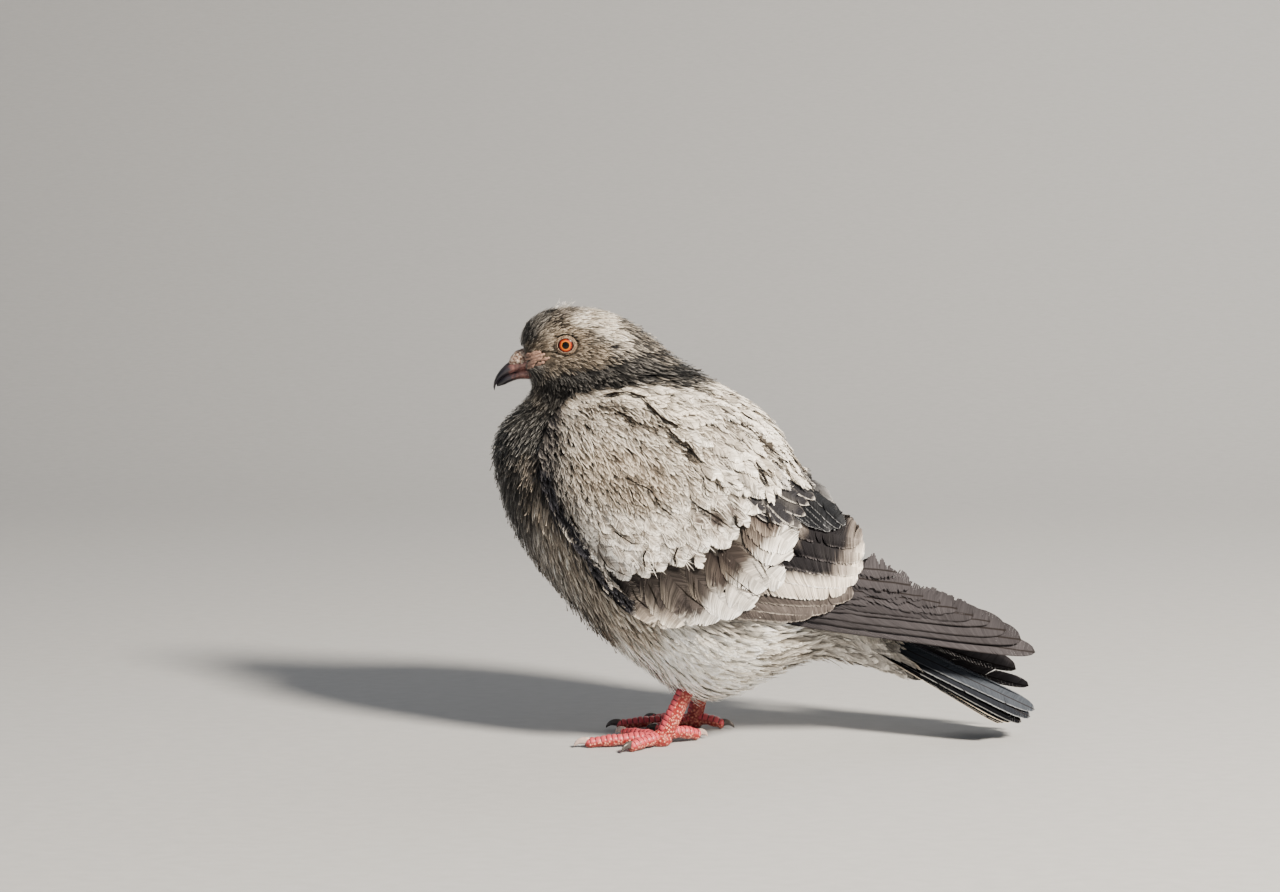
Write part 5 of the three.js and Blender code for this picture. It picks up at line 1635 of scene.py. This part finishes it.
domes = add(tree, "MapRange", {"Value": pebbles.outputs["Distance"], "From Min": 0.6, "From Max": 0.1})
grains = blended(tree, domes.outputs["Result"], "#8c2826", "#e3947f")
tone = blended(tree, above.outputs["Result"], grains, flesh)
tone = blended(tree, cut.outputs["Value"], tone, "#36161a")
grain = add(tree, "MapRange", {"Value": above.outputs["Result"], "To Min": 1.0, "To Max": 0.1})
swell = {"Height": domes.outputs["Result"], "Distance": 0.0005, "Strength": grain.outputs["Result"]}
joined_to(shader, tree, tone, add(tree, "Bump", swell))


def claw_material(name, dark, pale, wet):
    """Horn with soft streaks."""
    inputs = {"Roughness": 0.35, "Specular IOR Level": 0.5, "Coat Weight": wet}
    material, tree, shader = surface(name, inputs)
    place = add(tree, "TexCoord").outputs["Object"]
    streak = add(tree, "TexNoise", {"Vector": place, "Scale": 600.0, "Detail": 4.0})
    joined_to(shader, tree, blended(tree, streak.outputs["Fac"], dark, pale))
    return material


claw_horn = claw_material("claw_horn", "#1f1c1e", "#5c5450", 0.1)
pale_claw_horn = claw_material("pale_claw_horn", "#86706a", "#d8c3bb", 0.0)


def bow_path(points):
    """Place and heading along a quadratic curve through three [x, y, z] points, at a share of it."""
    a, b, c = (np.array(p, float) for p in points)
    handle = 2 * b - (a + c) / 2

    def at(t):
        place = a * (1 - t) ** 2 + handle * 2 * t * (1 - t) + c * t**2
        heading = 2 * (1 - t) * (handle - a) + 2 * t * (c - handle)
        return place, heading / np.linalg.norm(heading)

    return at


def tube(form, path, radius, around, steps, narrow=1.0):
    """Adds a closed tube to a bmesh: radius(share, up) is its radius, up from -1 below to 1 on top.
    Nothing goes below the floor. Gives each vertex its share along the path and its up."""
    made = bmesh.ops.create_uvsphere(form, u_segments=around, v_segments=steps, radius=1)["verts"]
    shares = {}
    for vert in made:
        share = math.acos(max(-1, min(1, vert.co.z))) / math.pi
        turn = math.atan2(vert.co.y, vert.co.x)
        place, ahead = path(share)
        aside = np.cross((0, 0, 1), ahead)
        aside /= np.linalg.norm(aside) + 1e-9
        up = np.cross(ahead, aside)
        pole = abs(vert.co.z) > 0.99999
        reach = 0 if pole else radius(share, math.sin(turn))
        spot = place + aside * (reach * narrow * math.cos(turn)) + up * (reach * math.sin(turn))
        spot[2] = max(spot[2], 0)
        vert.co = Vector(spot)
        shares[vert] = (share, math.sin(turn))
    return shares


def claw_radius(share, up):
    return CLAW_RADIUS * (1 - share) ** 0.6 * min(1, 0.75 + 3 * share)


def scuted(share, up, count, depth):
    """A scute's swell on the upper side."""
    phase = (share * count) % 1
    return 1 + depth * smooth((up + 0.2) / 0.5) * (math.sin(math.pi * phase) ** 0.5 - 0.6)


for word, foot in FEET.items():
    skin_of_foot = bmesh.new()
    shares = {}
    cx, cy = foot["centre"]
    for toe, (tip, thick, rise_at) in foot["toes"].items():
        end_z = thick * TOE_TIP * 0.85
        middle = ((cx + tip[0]) / 2, (cy + tip[1]) / 2, max(thick * 0.95, rise_at * 0.9))
        path = bow_path(((cx, cy, rise_at), middle, (*tip, end_z)))
        count = round(math.dist((cx, cy), tip) / SCUTE)

        def toe_radius(share, up, thick=thick, count=count):
            rounded = math.sqrt(max(1 - (max(share - 0.9, 0) / 0.1) ** 2, 0))
            knuckle = 1 + 0.07 * math.cos(2 * math.pi * 3 * share)
            taper = 1 + (TOE_TIP - 1) * share
            return thick * taper * knuckle * rounded * scuted(share, up, count, 0.16)

        made = tube(skin_of_foot, path, toe_radius, 20, count * 8)
        shares |= {vert: (share * count, up) for vert, (share, up) in made.items()}

        claw = bmesh.new()
        ahead = path(1)[1] * (1, 1, 0)
        ahead /= np.linalg.norm(ahead)
        base_at = np.array((*tip, thick * 0.95)) - ahead * CLAW_INSIDE
        end_at = base_at + ahead * CLAW_LENGTH
        end_at[2] = CLAW_TIP
        bend_at = base_at * 0.4 + end_at * 0.6
        bend_at[2] = base_at[2] + CLAW_ARCH
        tube(claw, bow_path((base_at, bend_at, end_at)), claw_radius, 16, 20, 0.72)
        bmesh.ops.recalc_face_normals(claw, faces=claw.faces)
        material = pale_claw_horn if (word, toe) in PALE_CLAWS else claw_horn
        claw = object_of(f"talon_{word}_{toe}", in_row(claw), material)
        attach(claw, "root")
        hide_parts(f"claw_{word}_{toe}")

    top = np.array(foot["top"], float)
    low_end = np.array((cx, cy, SHANK_LOW))
    shank = bow_path((low_end, (low_end + top) / 2, top))
    count = round(math.dist(low_end, top) / SCUTE)

    def shank_radius(share, up, count=count):
        return SHANK_RADIUS * scuted(share, up - SHANK_TURN, count, 0.08)

    made = tube(skin_of_foot, shank, shank_radius, 28, count * 6, 0.8)
    shares |= {vert: (share * count, up - SHANK_TURN) for vert, (share, up) in made.items()}
    pad = bmesh.ops.create_uvsphere(skin_of_foot, u_segments=24, v_segments=16, radius=1)["verts"]
    for vert in pad:
        height = max(PAD_HEIGHT + vert.co.z * PAD[2], 0)
        vert.co = Vector((cx + vert.co.x * PAD[0], cy + vert.co.y * PAD[1], height))
        shares[vert] = (0.5, -1)
    numbers = np.array([shares[v] for v in skin_of_foot.verts])
    bmesh.ops.recalc_face_normals(skin_of_foot, faces=skin_of_foot.faces)
    leg = object_of(f"shank_and_toes_{word}", in_row(skin_of_foot), scaled_skin)
    layer = leg.data.uv_layers.new(name="scutes")
    corners = np.zeros(len(leg.data.loops), np.int32)
    leg.data.loops.foreach_get("vertex_index", corners)
    layer.data.foreach_set("uv", numbers[corners].astype(np.float32).ravel())
    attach(leg, "root")
    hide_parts(f"foot_{word}", f"leg_{word}")
